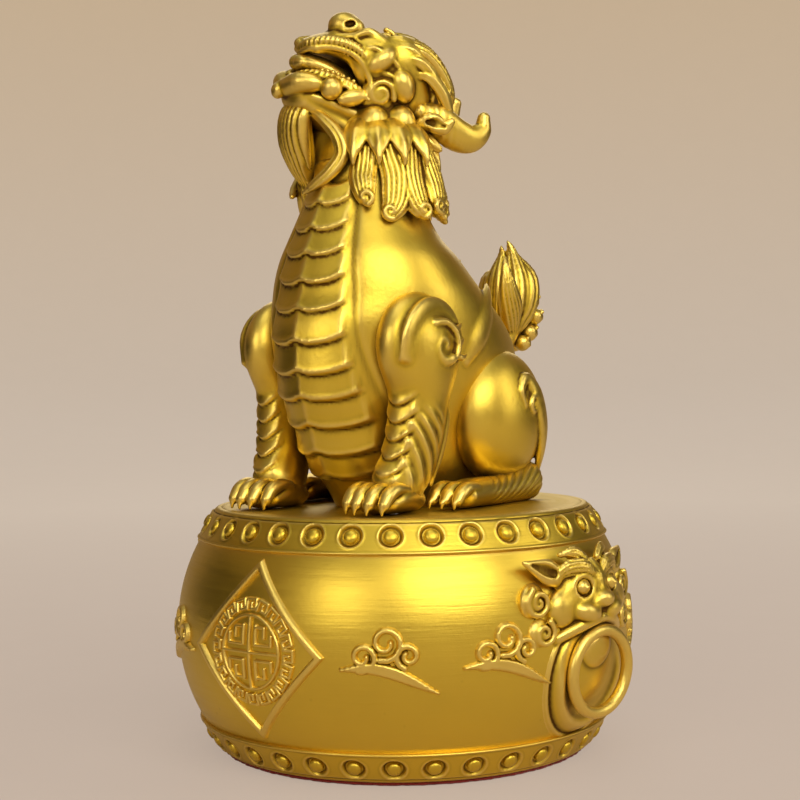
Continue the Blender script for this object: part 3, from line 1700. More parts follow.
# ---------------------------------------------------------------- body and legs
@dataclass
class Trunk:
    """The figure's trunk, with its overlapping chest plates. Heights are over the drum head."""

    top: float = HEAD_TOP
    voxel: float = 0.53
    stations: tuple[Point, ...] = (
        (-1.0, 12.0, 17.0, 33.0), (5.0, 10.0, 18.0, 35.0), (10.0, 7.5, 19.2, 37.0), (15.7, 5.5, 20.8, 38.6),
        (22.0, 4.0, 22.2, 39.6), (27.5, 2.0, 23.8, 40.0), (34.0, 0.5, 25.6, 40.2), (41.0, -0.8, 27.0, 39.6),
        (47.5, -3.8, 27.4, 36.4), (54.0, -7.6, 26.8, 30.8), (59.3, -10.3, 25.2, 27.2), (64.5, -12.3, 23.0, 23.8),
        (70.0, -14.2, 19.6, 19.8), (76.5, -14.4, 16.4, 17.0), (83.0, -13.0, 14.8, 15.6), (90.0, -11.8, 14.2, 14.8),
    )
    feet: tuple[float, ...] = (7.5, 13.5, 20.5, 27.5, 34.0, 41.5, 49.5, 56.5, 63.5, 70.0, 76.5, 83.0)
    half_widths: tuple[float, ...] = (11.5, 13.6, 14.6, 14.2, 13.4, 12.4, 11.8, 11.2, 10.2, 9.2, 8.2, 7.4)

    def form(self) -> Form:
        """The trunk without its plates."""
        rows = [(z + self.top, *rest) for z, *rest in self.stations]
        return level_loft(rows)

    def plates(self, points: Array) -> Array:
        """How far the chest plates raise the surface.

        Args:
            points: places in millimetres, one a row.

        Returns:
            The rise in millimetres.
        """
        z = points[:, 2] - self.top
        centre = np.interp(z, [s[0] for s in self.stations], [s[1] for s in self.stations])
        front = ramp(centre - points[:, 1], 4.0, 10.0)
        half = np.interp(z, self.feet, self.half_widths)
        share = np.abs(points[:, 0]) / half
        drop = z - 0.9 * np.exp(-(share / 0.16) ** 2) - 2.6 * share ** 4
        feet = np.array(self.feet)
        index = np.clip(np.searchsorted(feet, drop) - 1, 0, len(feet) - 2)
        above = drop - feet[index]
        rise = np.clip(above / (feet[index + 1] - feet[index]), 0, 1)
        lip = 0.20 + 1.15 * (1 - rise) ** 1.3 + 0.22 * np.exp(-((above - 1.1) / 0.6) ** 2)
        thick = lip * ramp(above, -0.15, 0.85)
        middle = 1.15 * (1 - np.clip(share / 0.85, 0, 1)) + 0.12 * np.exp(-(points[:, 0] / 0.6) ** 2)
        inside = (1 - ramp(share, 0.91, 1.0)) * ramp(drop, feet[0] - 0.2, feet[0] + 0.6) * (
            1 - ramp(drop, feet[-1] - 1.0, feet[-1]))
        border = -0.5 * np.exp(-((share - 1.10) / 0.09) ** 2) * (drop > feet[0]) * (drop < feet[-1])
        return ((thick + middle) * inside + border) * front

    def build(self, shop: Workshop, finish: bpy.types.Material) -> None:
        """Makes the trunk with plates and the flame on each flank.

        Args:
            shop: where the pieces are made.
            finish: its material.
        """
        flame = strand([(25.6, -6.0, 101.0, 1.6, 1.0), (26.4, -2.0, 107.0, 3.4, 1.6), (25.6, 3.0, 113.0, 3.0, 1.5),
                        (22.8, 8.6, 118.6, 1.6, 1.1), (20.4, 12.0, 121.5, 0.5, 0.5)], out=(1, 0, 0.1))
        spine = strand([(0, 10.0, 119.4, 0.6, 0.5), (0, 22.0, 113.8, 2.2, 1.6), (0, 33.0, 104.0, 2.2, 1.6),
                        (0, 40.0, 94.0, 1.6, 1.2)], out=(0, 0.6, 0.8))
        trunk = self.form().worked(self.plates, 2.6).join(flame.both(), soft=0.8).join(spine, soft=1.6)
        shop.sculpt("trunk", trunk, self.voxel, finish, ["body", "chest_plates"])


@dataclass
class OnDrum:
    """A part of the figure that is given by its heights over the drum head."""

    top: float = HEAD_TOP

    def _over(self, stations: Sequence[Point]) -> list[Point]:
        """Stations given over the drum head, moved to the frame."""
        return [(x, y, z + self.top, *rest) for x, y, z, *rest in stations]


@dataclass
class Legs(OnDrum):
    """Forelegs, haunches and feet, worked out for the left side. Sizes in millimetres."""

    paw_x: float = 19.0

    def foreleg(self) -> Form:
        """The left foreleg: flat round shoulder with a scroll, scalloped folds in front, long folds outside.

        Returns:
            The foreleg.
        """
        shoulder = egg((22.0, -20.8, self.top + 41.0), (7.4, 14.4, 13.8), pitch=-16)
        shaft = strand(self._over([
            (22.0, -20.0, 42.0, 6.8, 10.4), (22.0, -20.2, 34.0, 6.6, 10.0), (21.8, -20.8, 27.5, 6.2, 9.2),
            (21.2, -22.2, 19.0, 5.8, 8.3), (20.4, -24.2, 12.0, 5.8, 7.8), (19.6, -27.0, 7.0, 6.2, 7.4)]),
            out=(0, -1, 0))
        rim = strand(self._over([
            (26.2, -32.0, 38.0, 1.6, 0.8), (27.0, -31.2, 45.0, 1.8, 0.9), (27.2, -26.0, 50.2, 1.8, 0.9),
            (26.8, -19.4, 51.6, 1.6, 0.9), (26.8, -13.4, 48.8, 1.4, 0.8), (27.6, -10.8, 42.6, 0.9, 0.7)]),
            out=(1, 0, 0.1))
        form = shoulder.join(shaft, soft=3.0).join(rim, soft=1.6)
        for radius, turns, start in ((6.6, 1.3, 60), (3.6, 0.9, 230)):
            form = form.join(curl((29.2, -19.6, self.top + 41.0), radius, 0.95, turns, (1, -0.12, 0.05), start, 1.0),
                             soft=0.7)
        for k in range(3):
            form = form.join(strand(self._over([
                (28.9, -17.6 + k, 46.6 - 3.4 * k, 0.5, 0.5), (29.2, -14.6 + k, 45.4 - 3.6 * k, 0.9, 0.8),
                (28.6, -11.8 + k, 46.6 - 3.8 * k, 0.4, 0.4)]), out=(1, 0, 0)), soft=0.5)

        def folds(points: Array) -> Array:
            """Scalloped folds down the front and long folds that sweep to the heel.

            Args:
                points: places in millimetres, one a row.

            Returns:
                The rise in millimetres.
            """
            z = points[:, 2] - self.top
            side = points[:, 0] - np.interp(z, (7, 27), (20.2, 22.4))
            drop = z - 0.16 * side ** 2
            wave = (drop / 4.4) % 1.0
            scallop = 0.95 * (1 - wave) ** 0.8 * ramp(wave, 0.0, 0.18)
            band = ramp(z, 8.0, 11.0) * (1 - ramp(z, 27.0, 31.0))
            front = (1 - ramp(points[:, 1], -28.0, -25.0)) * (1 - ramp(np.abs(side), 3.4, 4.8))
            sweep = z + 1.9 * (points[:, 1] + 20.0) + 0.05 * (z - 15.0) ** 2
            long = 0.6 * (0.5 + 0.5 * np.cos(sweep * 0.8))
            outer = ramp(side, 1.6, 3.6) * ramp(z, 5.0, 9.0) * (1 - ramp(z, 20.0, 28.0)) * (
                1 - ramp(points[:, 1], -19.0, -16.0))
            return scallop * band * front + long * outer

        locks = []
        for i, (x, y) in enumerate(((25.4, -18.6), (24.2, -14.8))):
            locks.append(strand(self._over([
                (x + 0.4, y + 1.4, 30.0 - 2 * i, 1.2, 0.9), (x + 0.4, y + 0.9, 23.0 - i, 2.2, 1.3),
                (x - 0.4, y - 0.8, 15.0 - i, 2.2, 1.2), (x - 1.6, y - 2.6, 7.5 - i, 0.8, 0.6)]), out=(1, 0.25, 0),
                ribs=Ribs(2, 0.3)))
        return form.worked(folds, 1.0).join(*locks, soft=0.8)

    def forepaw(self) -> Form:
        """The left forepaw: pad, four knuckled toes and claws.

        Returns:
            The forepaw.
        """
        pad = strand(self._over([
            (19.2, -22.5, 3.2, 5.0, 3.2), (19.2, -27.0, 4.2, 6.4, 4.2), (19.2, -32.0, 3.9, 7.2, 3.8),
            (19.2, -35.0, 3.2, 7.0, 2.9)]))
        form = pad
        for i in range(4):
            spread = i - 1.5
            x = self.paw_x + 3.7 * spread
            reach = 1.2 * (1.5 - abs(spread))
            toe = strand(self._over([
                (x * 0.97 + 0.6, -30.0 - reach, 6.0, 1.5, 1.4), (x, -34.0 - reach, 6.4, 1.9, 1.7),
                (x, -37.0 - reach, 5.2, 1.9, 1.7), (x, -38.9 - reach, 3.0, 1.6, 1.5)]))
            claw = strand(self._over([
                (x, -38.0 - reach, 3.6, 0.9, 0.8), (x, -39.6 - reach, 2.2, 0.8, 0.7),
                (x, -39.8 - reach, 0.6, 0.35, 0.35)]))
            form = form.join(toe, soft=0.5).join(claw, soft=0.2)
        return form

    def haunch(self) -> Form:
        """The left haunch, with the flame that curls up its rear.

        Returns:
            The haunch.
        """
        thigh = egg((22.6, 13.0, self.top + 23.0), (9.8, 17.2, 17.8), pitch=-6)
        flame = strand(self._over([
            (27.0, 25.4, 8.0, 1.0, 0.8), (29.4, 23.8, 14.0, 2.2, 1.2), (30.9, 22.2, 21.0, 3.2, 1.3),
            (31.3, 18.8, 28.6, 3.0, 1.4), (30.9, 14.4, 32.6, 2.0, 1.2), (31.6, 11.2, 29.6, 1.2, 0.9),
            (32.1, 12.4, 25.8, 0.7, 0.6)]), out=(1, 0.3, 0))
        scroll = curl((32.1, 16.6, self.top + 25.6), 3.0, 0.8, -1.1, (1, 0.25, 0), 150)
        return thigh.join(flame, scroll, soft=0.6)

    def hindpaw(self) -> Form:
        """The left hind foot, striped by its fur, with three toes.

        Returns:
            The hind foot.
        """
        foot = strand(self._over([
            (25.5, 22.0, 5.4, 4.4, 5.2), (26.0, 14.0, 4.4, 4.4, 4.1), (26.4, 4.0, 3.8, 4.6, 3.5),
            (26.6, -5.0, 3.9, 5.2, 3.7), (26.6, -11.0, 3.6, 5.8, 3.4)]))

        def fur(points: Array) -> Array:
            """Low slanting ridges along the foot."""
            wave = np.abs(np.sin((points[:, 1] - 1.6 * (points[:, 2] - self.top)) * 0.95))
            return 0.28 * wave * ramp(points[:, 1], -4.0, 2.0)

        form = foot.worked(fur, 0.4)
        for i in range(3):
            x = 26.6 + 3.8 * (i - 1)
            toe = strand(self._over([
                (x, -9.0, 5.6, 1.5, 1.3), (x, -12.6, 5.6, 1.9, 1.6), (x, -15.2, 4.4, 1.9, 1.6),
                (x, -16.9, 2.6, 1.5, 1.3)]))
            claw = strand(self._over([(x, -16.0, 3.4, 0.9, 0.8), (x, -18.0, 2.2, 0.8, 0.7), (x, -18.3, 0.6, 0.3, 0.3)]))
            form = form.join(toe, soft=0.5).join(claw, soft=0.2)
        return form

    def build(self, shop: Workshop, finish: bpy.types.Material) -> None:
        """Makes the eight parts of the legs.

        Args:
            shop: where the pieces are made.
            finish: its material.
        """
        floor = egg((0, 0, self.top - 400), (400, 400, 400))
        for name, form, voxel in (("foreleg", self.foreleg(), 0.42), ("forepaw", self.forepaw(), 0.34),
                                  ("haunch", self.haunch(), 0.5), ("hindpaw", self.hindpaw(), 0.36)):
            whole = form.cut(floor, soft=0.0) if "paw" in name else form
            for side in Side:
                shaped = whole if side is Side.LEFT else whole.mirrored()
                shop.sculpt(f"{name}_{side.word}_form", shaped, voxel, finish, [f"{name}_{side.word}"])


@dataclass
class Tail(OnDrum):
    """The short tail with its flame tuft."""

    voxel: float = 0.38

    def build(self, shop: Workshop, finish: bpy.types.Material) -> None:
        """Makes the tail.

        Args:
            shop: where the pieces are made.
            finish: its material.
        """
        stem = strand(self._over([(0, 38.5, 34.0, 4.4, 4.4), (0, 43.5, 38.0, 4.2, 4.2), (0, 47.5, 44.0, 5.4, 4.8),
                                  (0, 50.5, 50.0, 6.8, 5.8)]), out=(0, 1, 0), ribs=Ribs(6, 0.4))
        form = stem
        for angle, height, lean, reach in ((-90, 72.0, 0.0, 5.4), (-38, 73.5, 0.6, 5.2), (20, 71.0, 1.0, 5.6),
                                           (75, 67.0, 1.0, 5.6), (135, 66.0, 0.6, 5.0), (200, 68.0, 0.0, 5.2),
                                           (240, 66.0, 0.0, 5.0)):
            a = math.radians(angle)
            c, s = math.cos(a), math.sin(a)
            form = form.join(strand(self._over([
                (c * 2.5, 49.5 + s * 2.0, 46.0, 2.6, 2.4), (c * reach, 52.6 + s * (reach - 0.6), 54.0, 4.3, 3.6),
                (c * (reach + 0.2), 54.0 + s * (reach - 0.4), 62.0, 4.1, 3.3),
                (c * 2.6 + lean, 53.4 + s * 2.6, height - 3, 1.7, 1.5),
                (c * 1.4 + lean * 1.5, 51.4 + s * 1.2, height, 0.5, 0.5)]),
                out=(c, s, 0), ribs=Ribs(4, 0.55, 0.7)), soft=0.5)
        for m in (1, -1):
            form = form.join(strand(self._over([
                (m * 4.5, 48.0, 48.0, 2.8, 2.2), (m * 7.4, 43.6, 53.0, 4.2, 2.4), (m * 8.6, 40.4, 59.0, 3.2, 1.9),
                (m * 8.6, 39.4, 65.0, 1.4, 1.0), (m * 8.0, 40.4, 68.0, 0.4, 0.4)]), out=(m, -0.4, 0),
                ribs=Ribs(6, 0.5, 0.5)), soft=0.4)
        for x, y, z, r in ((3.0, 61.0, 56.0, 2.8), (5.6, 59.2, 51.4, 2.5), (4.4, 57.6, 46.6, 2.7),
                           (-3.8, 60.2, 53.6, 2.8), (-0.4, 59.8, 48.8, 2.6), (-5.4, 57.4, 48.2, 2.5),
                           (0.6, 55.8, 43.6, 2.6), (-4.4, 53.6, 44.4, 2.3), (5.0, 53.2, 43.4, 2.4)):
            ball = egg((x, y, z + self.top), (r, r, r))
            out = Vector((x, y - 51.0, 0.5)).normalized()
            ball = ball.join(curl(Vector((x, y, z + self.top)) + out * (r - 0.35), r * 0.72, 0.55, 1.3, out, 40),
                             soft=0.3)
            form = form.join(ball, soft=0.4)
        shop.sculpt("tail_flame", form, self.voxel, finish, ["tail"])


# ---------------------------------------------------------------- head
@dataclass
class Head:
    """The head, thrown back, turned to the figure's right and tilted. Sizes in millimetres.

    Attributes:
        turn: degrees that the head is turned to the right.
        tilt: degrees that its left side hangs lower.
        axis_y: where the axis of the turn stands.
        tilt_height: height of the axis of the tilt.
        drift: how far forward a point moves for each millimetre that the tilt moves it sideways.
        far_horn: how much higher and further back the right horn's tip is.
        skull_voxel: size of the skull's quads.
    """

    turn: float = 28.0
    tilt: float = 12.0
    axis_y: float = -10.0
    tilt_height: float = 172.0
    drift: float = 0.456
    far_horn: float = 3.2
    skull_voxel: float = 0.36

    def spot(self, x: float, forward: float, height: float) -> tuple[float, float, float]:
        """A place in the head's own frame, from its offset, reach forward and finished height.

        Args:
            x: offset to the left.
            forward: reach forward.
            height: height that it has once the head is tilted.

        Returns:
            The place.
        """
        tilt = math.radians(self.tilt)
        z = self.tilt_height + (height - self.tilt_height + x * math.sin(tilt)) / math.cos(tilt)
        lateral = x * math.cos(tilt) + (z - self.tilt_height) * math.sin(tilt)
        return (x, -(forward + self.drift * (lateral - x)), z)

    def run(self, stations: Sequence[Point]) -> list[Point]:
        """Stations (offset, forward, height, half width, half depth) in the head's own frame."""
        return [(*self.spot(x, s, z), w, d) for x, s, z, w, d in stations]

    def turned(self, form: Form) -> Form:
        """A form of the head's own frame, tilted and turned to its place.

        Args:
            form: the form.

        Returns:
            The turned form.
        """
        tilt = turned_frame(roll=self.tilt)
        yaw = turned_frame(yaw=-self.turn)
        spin = yaw @ tilt
        pivot = np.array([0, 0, self.tilt_height], dtype=np.float32)
        origin = np.array([0, self.axis_y, self.tilt_height], dtype=np.float32) - spin @ pivot
        return form.placed(spin, origin)

    def ball(self, x: float, forward: float, height: float, radii: Point, **turn: float) -> Form:
        """An egg at a spot."""
        return egg(self.spot(x, forward, height), radii, **turn)

    def neck(self) -> Form:
        """The neck, up to the skull."""
        return level_loft([(150.5, -11.8, 14.2, 14.8), (156.0, -11.2, 13.8, 14.4), (162.0, -10.4, 12.6, 13.4),
                           (169.0, -10.0, 10.0, 11.0)])

    def skull(self) -> Form:
        """Cranium, upper jaw, nose, brows, cheeks and lobes.

        Returns:
            The skull, in the head's own frame.
        """
        cranium = self.ball(0, -5.5, 173.2, (13.2, 13.0, 12.0))
        jaw = strand(self.run([(0, -4, 176.5, 12.4, 9.6), (0, 3, 180.0, 11.0, 6.6), (0, 9, 182.0, 9.6, 4.2),
                               (0, 14, 182.6, 8.6, 3.0), (0, 17.2, 181.8, 7.2, 2.4)]))
        mouth = strand(self.run([(0, 0, 171.0, 6.0, 3.0), (0, 8, 174.4, 9.4, 4.6), (0, 15, 177.0, 9.0, 4.3),
                                 (0, 26, 177.6, 8.4, 4.0)]))
        gum_path = [(0, 19.2, 182.0, 1.4, 1.3), (4.4, 18.2, 182.3, 1.4, 1.3), (8.0, 13.8, 182.2, 1.4, 1.3),
                    (10.2, 9.4, 180.8, 1.3, 1.2), (11.4, 6.8, 178.4, 1.0, 1.0)]
        gum = strand(self.run(gum_path), steps=5).both(soft=0.2).worked(self._gums, 0.4)
        lip = strand(self.run([(0, 20.0, 180.6, 0.8, 0.8), (4.6, 19.0, 180.8, 0.8, 0.8), (8.3, 14.6, 180.6, 0.8, 0.8),
                               (10.4, 9.8, 179.0, 0.8, 0.8), (11.8, 6.8, 175.4, 0.8, 0.8),
                               (12.6, 5.4, 169.4, 0.8, 0.8)]), steps=5).both(soft=0.2)
        nose = self.ball(0, 7.4, 187.9, (4.0, 4.4, 3.7)).join(
            self.ball(3.1, 6.4, 186.9, (2.4, 3.2, 2.7)).both(), soft=1.2)
        bridge = strand(self.run([(0, 8.0, 186.0, 4.2, 2.2), (0, 13.0, 184.2, 4.6, 1.5), (0, 17.4, 183.0, 4.6, 1.1)]))
        nostril = self.ball(4.6, 8.0, 187.5, (1.3, 1.9, 0.85), yaw=35, pitch=14).both()
        wing = strand(self.run([(2.4, 11.6, 185.2, 0.7, 0.7), (4.8, 10.6, 184.2, 0.9, 0.9), (7.4, 7.6, 184.0, 1.0, 0.9),
                                (9.2, 4.6, 184.8, 1.2, 1.1), (10.0, 1.6, 182.6, 1.7, 1.7)]), out=(1, 0, 0.6)).both()
        whisker = strand(self.run([(7.6, 8.0, 183.6, 0.6, 0.7), (10.2, 6.6, 180.4, 0.7, 0.8),
                                   (11.6, 5.2, 176.0, 0.7, 0.8), (12.8, 1.6, 173.2, 0.7, 0.8),
                                   (13.9, -0.4, 170.4, 0.8, 0.9)]), out=(1, 0, 0)).both()
        spiral = curl(self.spot(13.4, 3.4, 169.2), 3.6, 0.75, -1.7, (1, -0.2, 0), 200, 1.2).both()
        under = self.ball(11.2, 3.2, 169.4, (2.9, 4.6, 4.4)).both()
        side = self.ball(8.4, 2.6, 177.4, (5.2, 6.9, 7.7)).join(self.ball(8.8, -4.4, 177.2, (5.4, 8.2, 7.8)), soft=2.0)
        eye = self.ball(12.0, 2.6, 177.6, (3.0, 4.5, 2.8), pitch=38).both()
        lid = strand(self.run([(10.2, 6.8, 180.6, 0.5, 0.6), (12.6, 4.4, 180.2, 0.6, 0.7), (13.6, 0.8, 178.2, 0.6, 0.7),
                               (13.6, -2.4, 174.6, 0.5, 0.6)]), out=(1, 0, 0)).both()
        under_lid = strand(self.run([(11.0, 6.6, 178.0, 0.4, 0.5), (12.8, 3.6, 175.0, 0.5, 0.6),
                                     (13.6, 0.4, 173.6, 0.5, 0.6)]), out=(1, 0, 0)).both()
        cheek = self.ball(12.8, -2.6, 171.6, (3.5, 3.3, 4.6), pitch=20).both()
        lobes = self.ball(12.6, 5.6, 161.9, (3.6, 3.4, 4.6), pitch=-8).join(
            self.ball(13.2, -2.2, 161.6, (3.9, 3.9, 5.3), pitch=6), soft=0.15).both(soft=0.2)
        throat = self.ball(0.4, 12.5, 157.0, (5.4, 6.6, 9.5))
        form = cranium.join(jaw, side.both(), soft=2.5).join(bridge, soft=1.5)
        form = form.cut(mouth, soft=0.5).join(gum, soft=0.5)
        form = form.join(lip, soft=0.25).join(nose, soft=1.0).cut(nostril, soft=0.4).join(under, wing, soft=0.6)
        form = form.join(eye, soft=0.5).join(whisker, spiral, soft=0.3).join(lid, under_lid, soft=0.3)
        form = form.join(cheek, soft=0.5).join(lobes, soft=0.25).join(throat, soft=0.8)
        for x, s, z in ((9.8, -0.6, 183.4), (11.6, -1.6, 181.2), (12.6, -3.4, 178.4), (13.0, -5.6, 174.8)):
            lock = strand(self.run([
                (x, s, z, 0.8, 0.7), (x + 1.2, s - 4.2, z - 0.8, 1.6, 1.0), (x + 1.0, s - 8.4, z - 4.8, 1.7, 1.0),
                (x + 0.2, s - 10.6, z - 9.6, 1.2, 0.8), (x, s - 10.4, z - 13.0, 0.5, 0.5)]), out=(1, 0, 0.3),
                ribs=Ribs(2, 0.3))
            form = form.join(lock.both(), soft=0.4)
        return form

    def _gums(self, points: Array) -> Array:
        """Fine upright ribs."""
        angle = np.arctan2(points[:, 0], -points[:, 1] - 2.0)
        return 0.18 * np.cos(angle * 88)

    def jaw(self) -> Form:
        """The lower jaw with its rolled lip, balls and ribbed gum.

        Returns:
            The jaw.
        """
        base = strand(self.run([(0, -3, 163.0, 10.4, 4.6), (0, 4, 164.6, 11.2, 4.2), (0, 11, 167.2, 10.7, 3.6),
                                (0, 17, 169.4, 9.6, 3.0), (0, 22, 170.6, 7.2, 2.4)]))
        strap = strand(self.run([(0, 21.4, 168.4, 7.4, 2.6), (0, 14, 164.6, 9.8, 4.2), (0, 7, 160.8, 11.4, 5.4),
                                 (0, 0, 157.6, 12.0, 6.6)]))
        roll = strand(self.run([(0, 24.6, 171.6, 2.2, 2.3), (5.2, 22.8, 172.0, 2.8, 2.8), (7.8, 20.0, 171.7, 2.4, 2.4),
                                (9.0, 17.8, 171.2, 1.5, 1.5)]), steps=5).both(soft=0.4)
        chin = self.ball(0, 26.4, 170.9, (2.1, 1.7, 2.1))
        ball = self.ball(10.0, 15.6, 170.3, (2.9, 2.9, 2.9)).both()
        oval = self.ball(11.4, 10.4, 168.2, (2.1, 4.2, 2.2), pitch=14).both()
        gum = strand(self.run([(0, 22.2, 174.0, 1.3, 1.2), (4.6, 20.8, 174.3, 1.3, 1.2), (8.4, 16.4, 173.6, 1.3, 1.2),
                               (10.6, 11.0, 171.4, 1.2, 1.1), (12.0, 6.6, 168.6, 1.0, 1.0)]), steps=5).both(soft=0.2)
        seam = strand(self.run([(0, 24.0, 173.4, 0.5, 0.5), (5.2, 22.2, 173.8, 0.5, 0.5), (9.2, 17.2, 173.0, 0.5, 0.5),
                                (11.4, 11.8, 170.6, 0.5, 0.5), (12.8, 6.6, 167.6, 0.5, 0.5)]), steps=5).both(soft=0.2)
        form = base.join(strap, soft=2.0).join(roll, soft=0.6).join(chin, ball, oval, soft=0.3)
        return form.join(gum.worked(self._gums, 0.4), soft=0.3).join(seam, soft=0.3)

    def tongue(self) -> Form:
        """The tongue, a thick leaf with a groove along it.

        Returns:
            The tongue.
        """
        leaf = strand(self.run([(0, 2.0, 170.4, 6.4, 2.2), (0, 8.0, 173.4, 7.6, 2.9), (0, 14.0, 176.6, 7.6, 3.0),
                                (0, 18.2, 178.0, 6.4, 2.7), (0, 20.4, 178.2, 4.4, 2.2)]))

        def groove(points: Array) -> Array:
            """A shallow groove down the middle."""
            return -0.5 * np.exp(-(points[:, 0] / 0.9) ** 2)

        return leaf.worked(groove, 0.1)

    def teeth(self, upper: bool) -> Form:
        """A row of low blunt pegs inside one jaw.

        Args:
            upper: whether they are the upper jaw's.

        Returns:
            The row.
        """
        path = (((1.0, 18.0, 181.2), (4.8, 16.6, 181.2), (7.8, 12.0, 180.8), (9.4, 8.4, 178.8)) if upper
                else ((1.0, 20.4, 174.6), (4.8, 18.6, 174.8), (8.0, 14.2, 173.8), (9.8, 9.4, 171.6)))
        drop = -1.0 if upper else 1.0
        form = None
        for x, s, z in smooth_path([(*p,) for p in path], 4):
            peg = strand(self.run([(x, s, z, 0.62, 0.62), (x, s, z + drop * 0.9, 0.55, 0.55)]), steps=1)
            form = peg if form is None else form.join(peg, soft=0.1)
        return form.both(soft=0.1)

    def horn(self, rise: float = 0.0, back: float = 0.0) -> Form:
        """The left horn, swept back and down and curled up to a blunt tip.

        Args:
            rise: how much higher its tip is than the left one's.
            back: how much further back its tip is.

        Returns:
            The form.
        """
        rows = [(10.4, -9.0, 166.0, 2.8, 3.0), (12.2, -13.0, 163.8, 3.3, 4.2), (13.0, -18.0, 160.4, 3.3, 4.3),
                (12.8, -22.6, 159.7, 2.9, 3.7), (12.2, -26.0, 162.0, 2.4, 2.8), (11.8, -26.9, 165.2, 1.7, 1.8)]
        path = [(x, s - back * (i / 5) ** 2, z + rise * (i / 5) ** 2, w, d) for i, (x, s, z, w, d) in enumerate(rows)]
        shaft = strand(self.run(path), steps=6)

        def rings(points: Array) -> Array:
            """Faint growth rings near the root."""
            return 0.10 * np.sin(points[:, 1] * 3.2) * (1 - ramp(points[:, 1], 12.0, 20.0))

        return shaft.worked(rings, 0.2)

    def ear(self) -> Form:
        """The left ear: a small leaf curled over at its tip, with a hooked lock under it.

        Returns:
            The ear.
        """
        leaf = strand(self.run([(14.0, -6.6, 161.6, 1.7, 1.3), (16.0, -9.2, 162.6, 2.6, 1.6),
                                (17.0, -12.4, 161.2, 2.0, 1.4), (17.4, -14.6, 162.8, 0.9, 0.9)]), out=(1, 0, 0))
        bowl = strand(self.run([(16.6, -8.2, 162.4, 0.7, 0.9), (18.2, -10.4, 162.0, 1.3, 1.0),
                                (18.4, -12.2, 161.4, 0.6, 0.7)]), out=(1, 0, 0))
        hook = strand(self.run([(14.2, -7.6, 160.0, 1.5, 1.2), (16.0, -9.4, 157.2, 1.6, 1.2),
                                (16.6, -11.4, 155.8, 1.0, 0.9)]), out=(1, 0, 0), ribs=Ribs(2, 0.4))
        return leaf.cut(bowl, soft=0.3).join(hook, soft=0.4)

    def crest(self) -> Form:
        """Hair swept back over the crown in ribbed locks with curled ends.

        Returns:
            The hair.
        """
        form = None
        for x, lift, width in ((0.0, 0.2, 3.8), (6.0, -0.4, 3.6), (10.4, -2.4, 2.9)):
            item = strand(self.run([
                (x * 0.7, 0.5, 183.6 + lift, width * 0.5, 1.4), (x * 0.9, -4.5, 184.6 + lift, width, 2.1),
                (x, -10.0, 183.0 + lift, width * 1.1, 2.3), (x, -14.8, 178.2 + lift, width, 2.2),
                (x * 0.98, -17.2, 172.8 + lift, width * 0.9, 1.9), (x * 0.94, -16.0, 168.8 + lift, width * 0.4, 1.1)]),
                out=(x * 0.06, 0.5, 1), ribs=Ribs(6, 0.5, 1.4), steps=5)
            item = item.both(soft=0.2) if x else item
            form = item if form is None else form.join(item, soft=0.25)
        for x, s, z, r in ((7.4, -1.4, 184.2, 2.5), (10.2, -6.0, 181.6, 1.9), (12.4, -14.6, 170.6, 1.9)):
            form = form.join(curl(self.spot(x, s, z), r, 0.7, 1.5, (0.8, 0, 0.6), 90, 1.2).both(), soft=0.3)
        return form

    def beard(self) -> Form:
        """A broad ribbed strand under the chin, and a lock at each side behind it.

        Returns:
            The beard.
        """
        form = strand(self.run([(0, 18.8, 167.6, 6.2, 2.4), (0, 21.6, 165.2, 7.4, 3.6), (0, 22.0, 159.6, 7.2, 4.2),
                                (0.6, 20.6, 153.0, 5.4, 3.6), (1.2, 18.8, 147.2, 2.5, 2.0),
                                (1.4, 18.2, 144.4, 0.8, 0.8)]),
                      out=(0, -1, 0.2), ribs=Ribs(9, 0.6, 0.8), steps=5)
        under = strand(self.run([(1.6, 18.8, 151.6, 1.6, 1.6), (1.8, 19.2, 145.2, 2.7, 2.1),
                                 (3.4, 18.4, 139.2, 2.0, 1.6), (4.8, 17.6, 134.6, 0.6, 0.6)]),
                       out=(0.6, -0.8, 0), ribs=Ribs(3, 0.4, 0.5))
        return form.join(under.both(soft=0.2), soft=0.35)

    def build(self, shop: Workshop, finish: bpy.types.Material, mane: Mane) -> None:
        """Makes the pieces of the head, and then the mane's.

        Args:
            shop: where the pieces are made.
            finish: its material.
            mane: the mane, whose throat leaves join the beard.
        """
        shop.sculpt("skull", self.turned(self.skull()).join(self.neck(), soft=2.5), self.skull_voxel,
                    finish, ["head", "eyes"])
        beard = self.turned(self.beard()).join(mane.throat(Side.LEFT), mane.throat(Side.RIGHT), soft=0.3)
        shop.sculpt("beard_locks", beard, 0.3, finish, ["beard"])
        for name, form, voxel, nodes in (
                ("jaw", self.jaw(), 0.32, ["lower_jaw"]), ("tongue_leaf", self.tongue(), 0.32, ["tongue"]),
                ("upper_pegs", self.teeth(True), 0.22, ["teeth_upper"]),
                ("lower_pegs", self.teeth(False), 0.22, ["teeth_lower"]),
                ("crown_hair", self.crest(), 0.32, ["crest"]),
                ("horn_left_form", self.horn(), 0.34, ["horn_left"]),
                ("horn_right_form", self.horn(self.far_horn, self.far_horn).mirrored(), 0.34, ["horn_right"]),
                ("ear_left_form", self.ear(), 0.3, ["ear_left"]),
                ("ear_right_form", self.ear().mirrored(), 0.3, ["ear_right"])):
            shop.sculpt(name, self.turned(form), voxel, finish, nodes)
        mane.build(shop, finish)


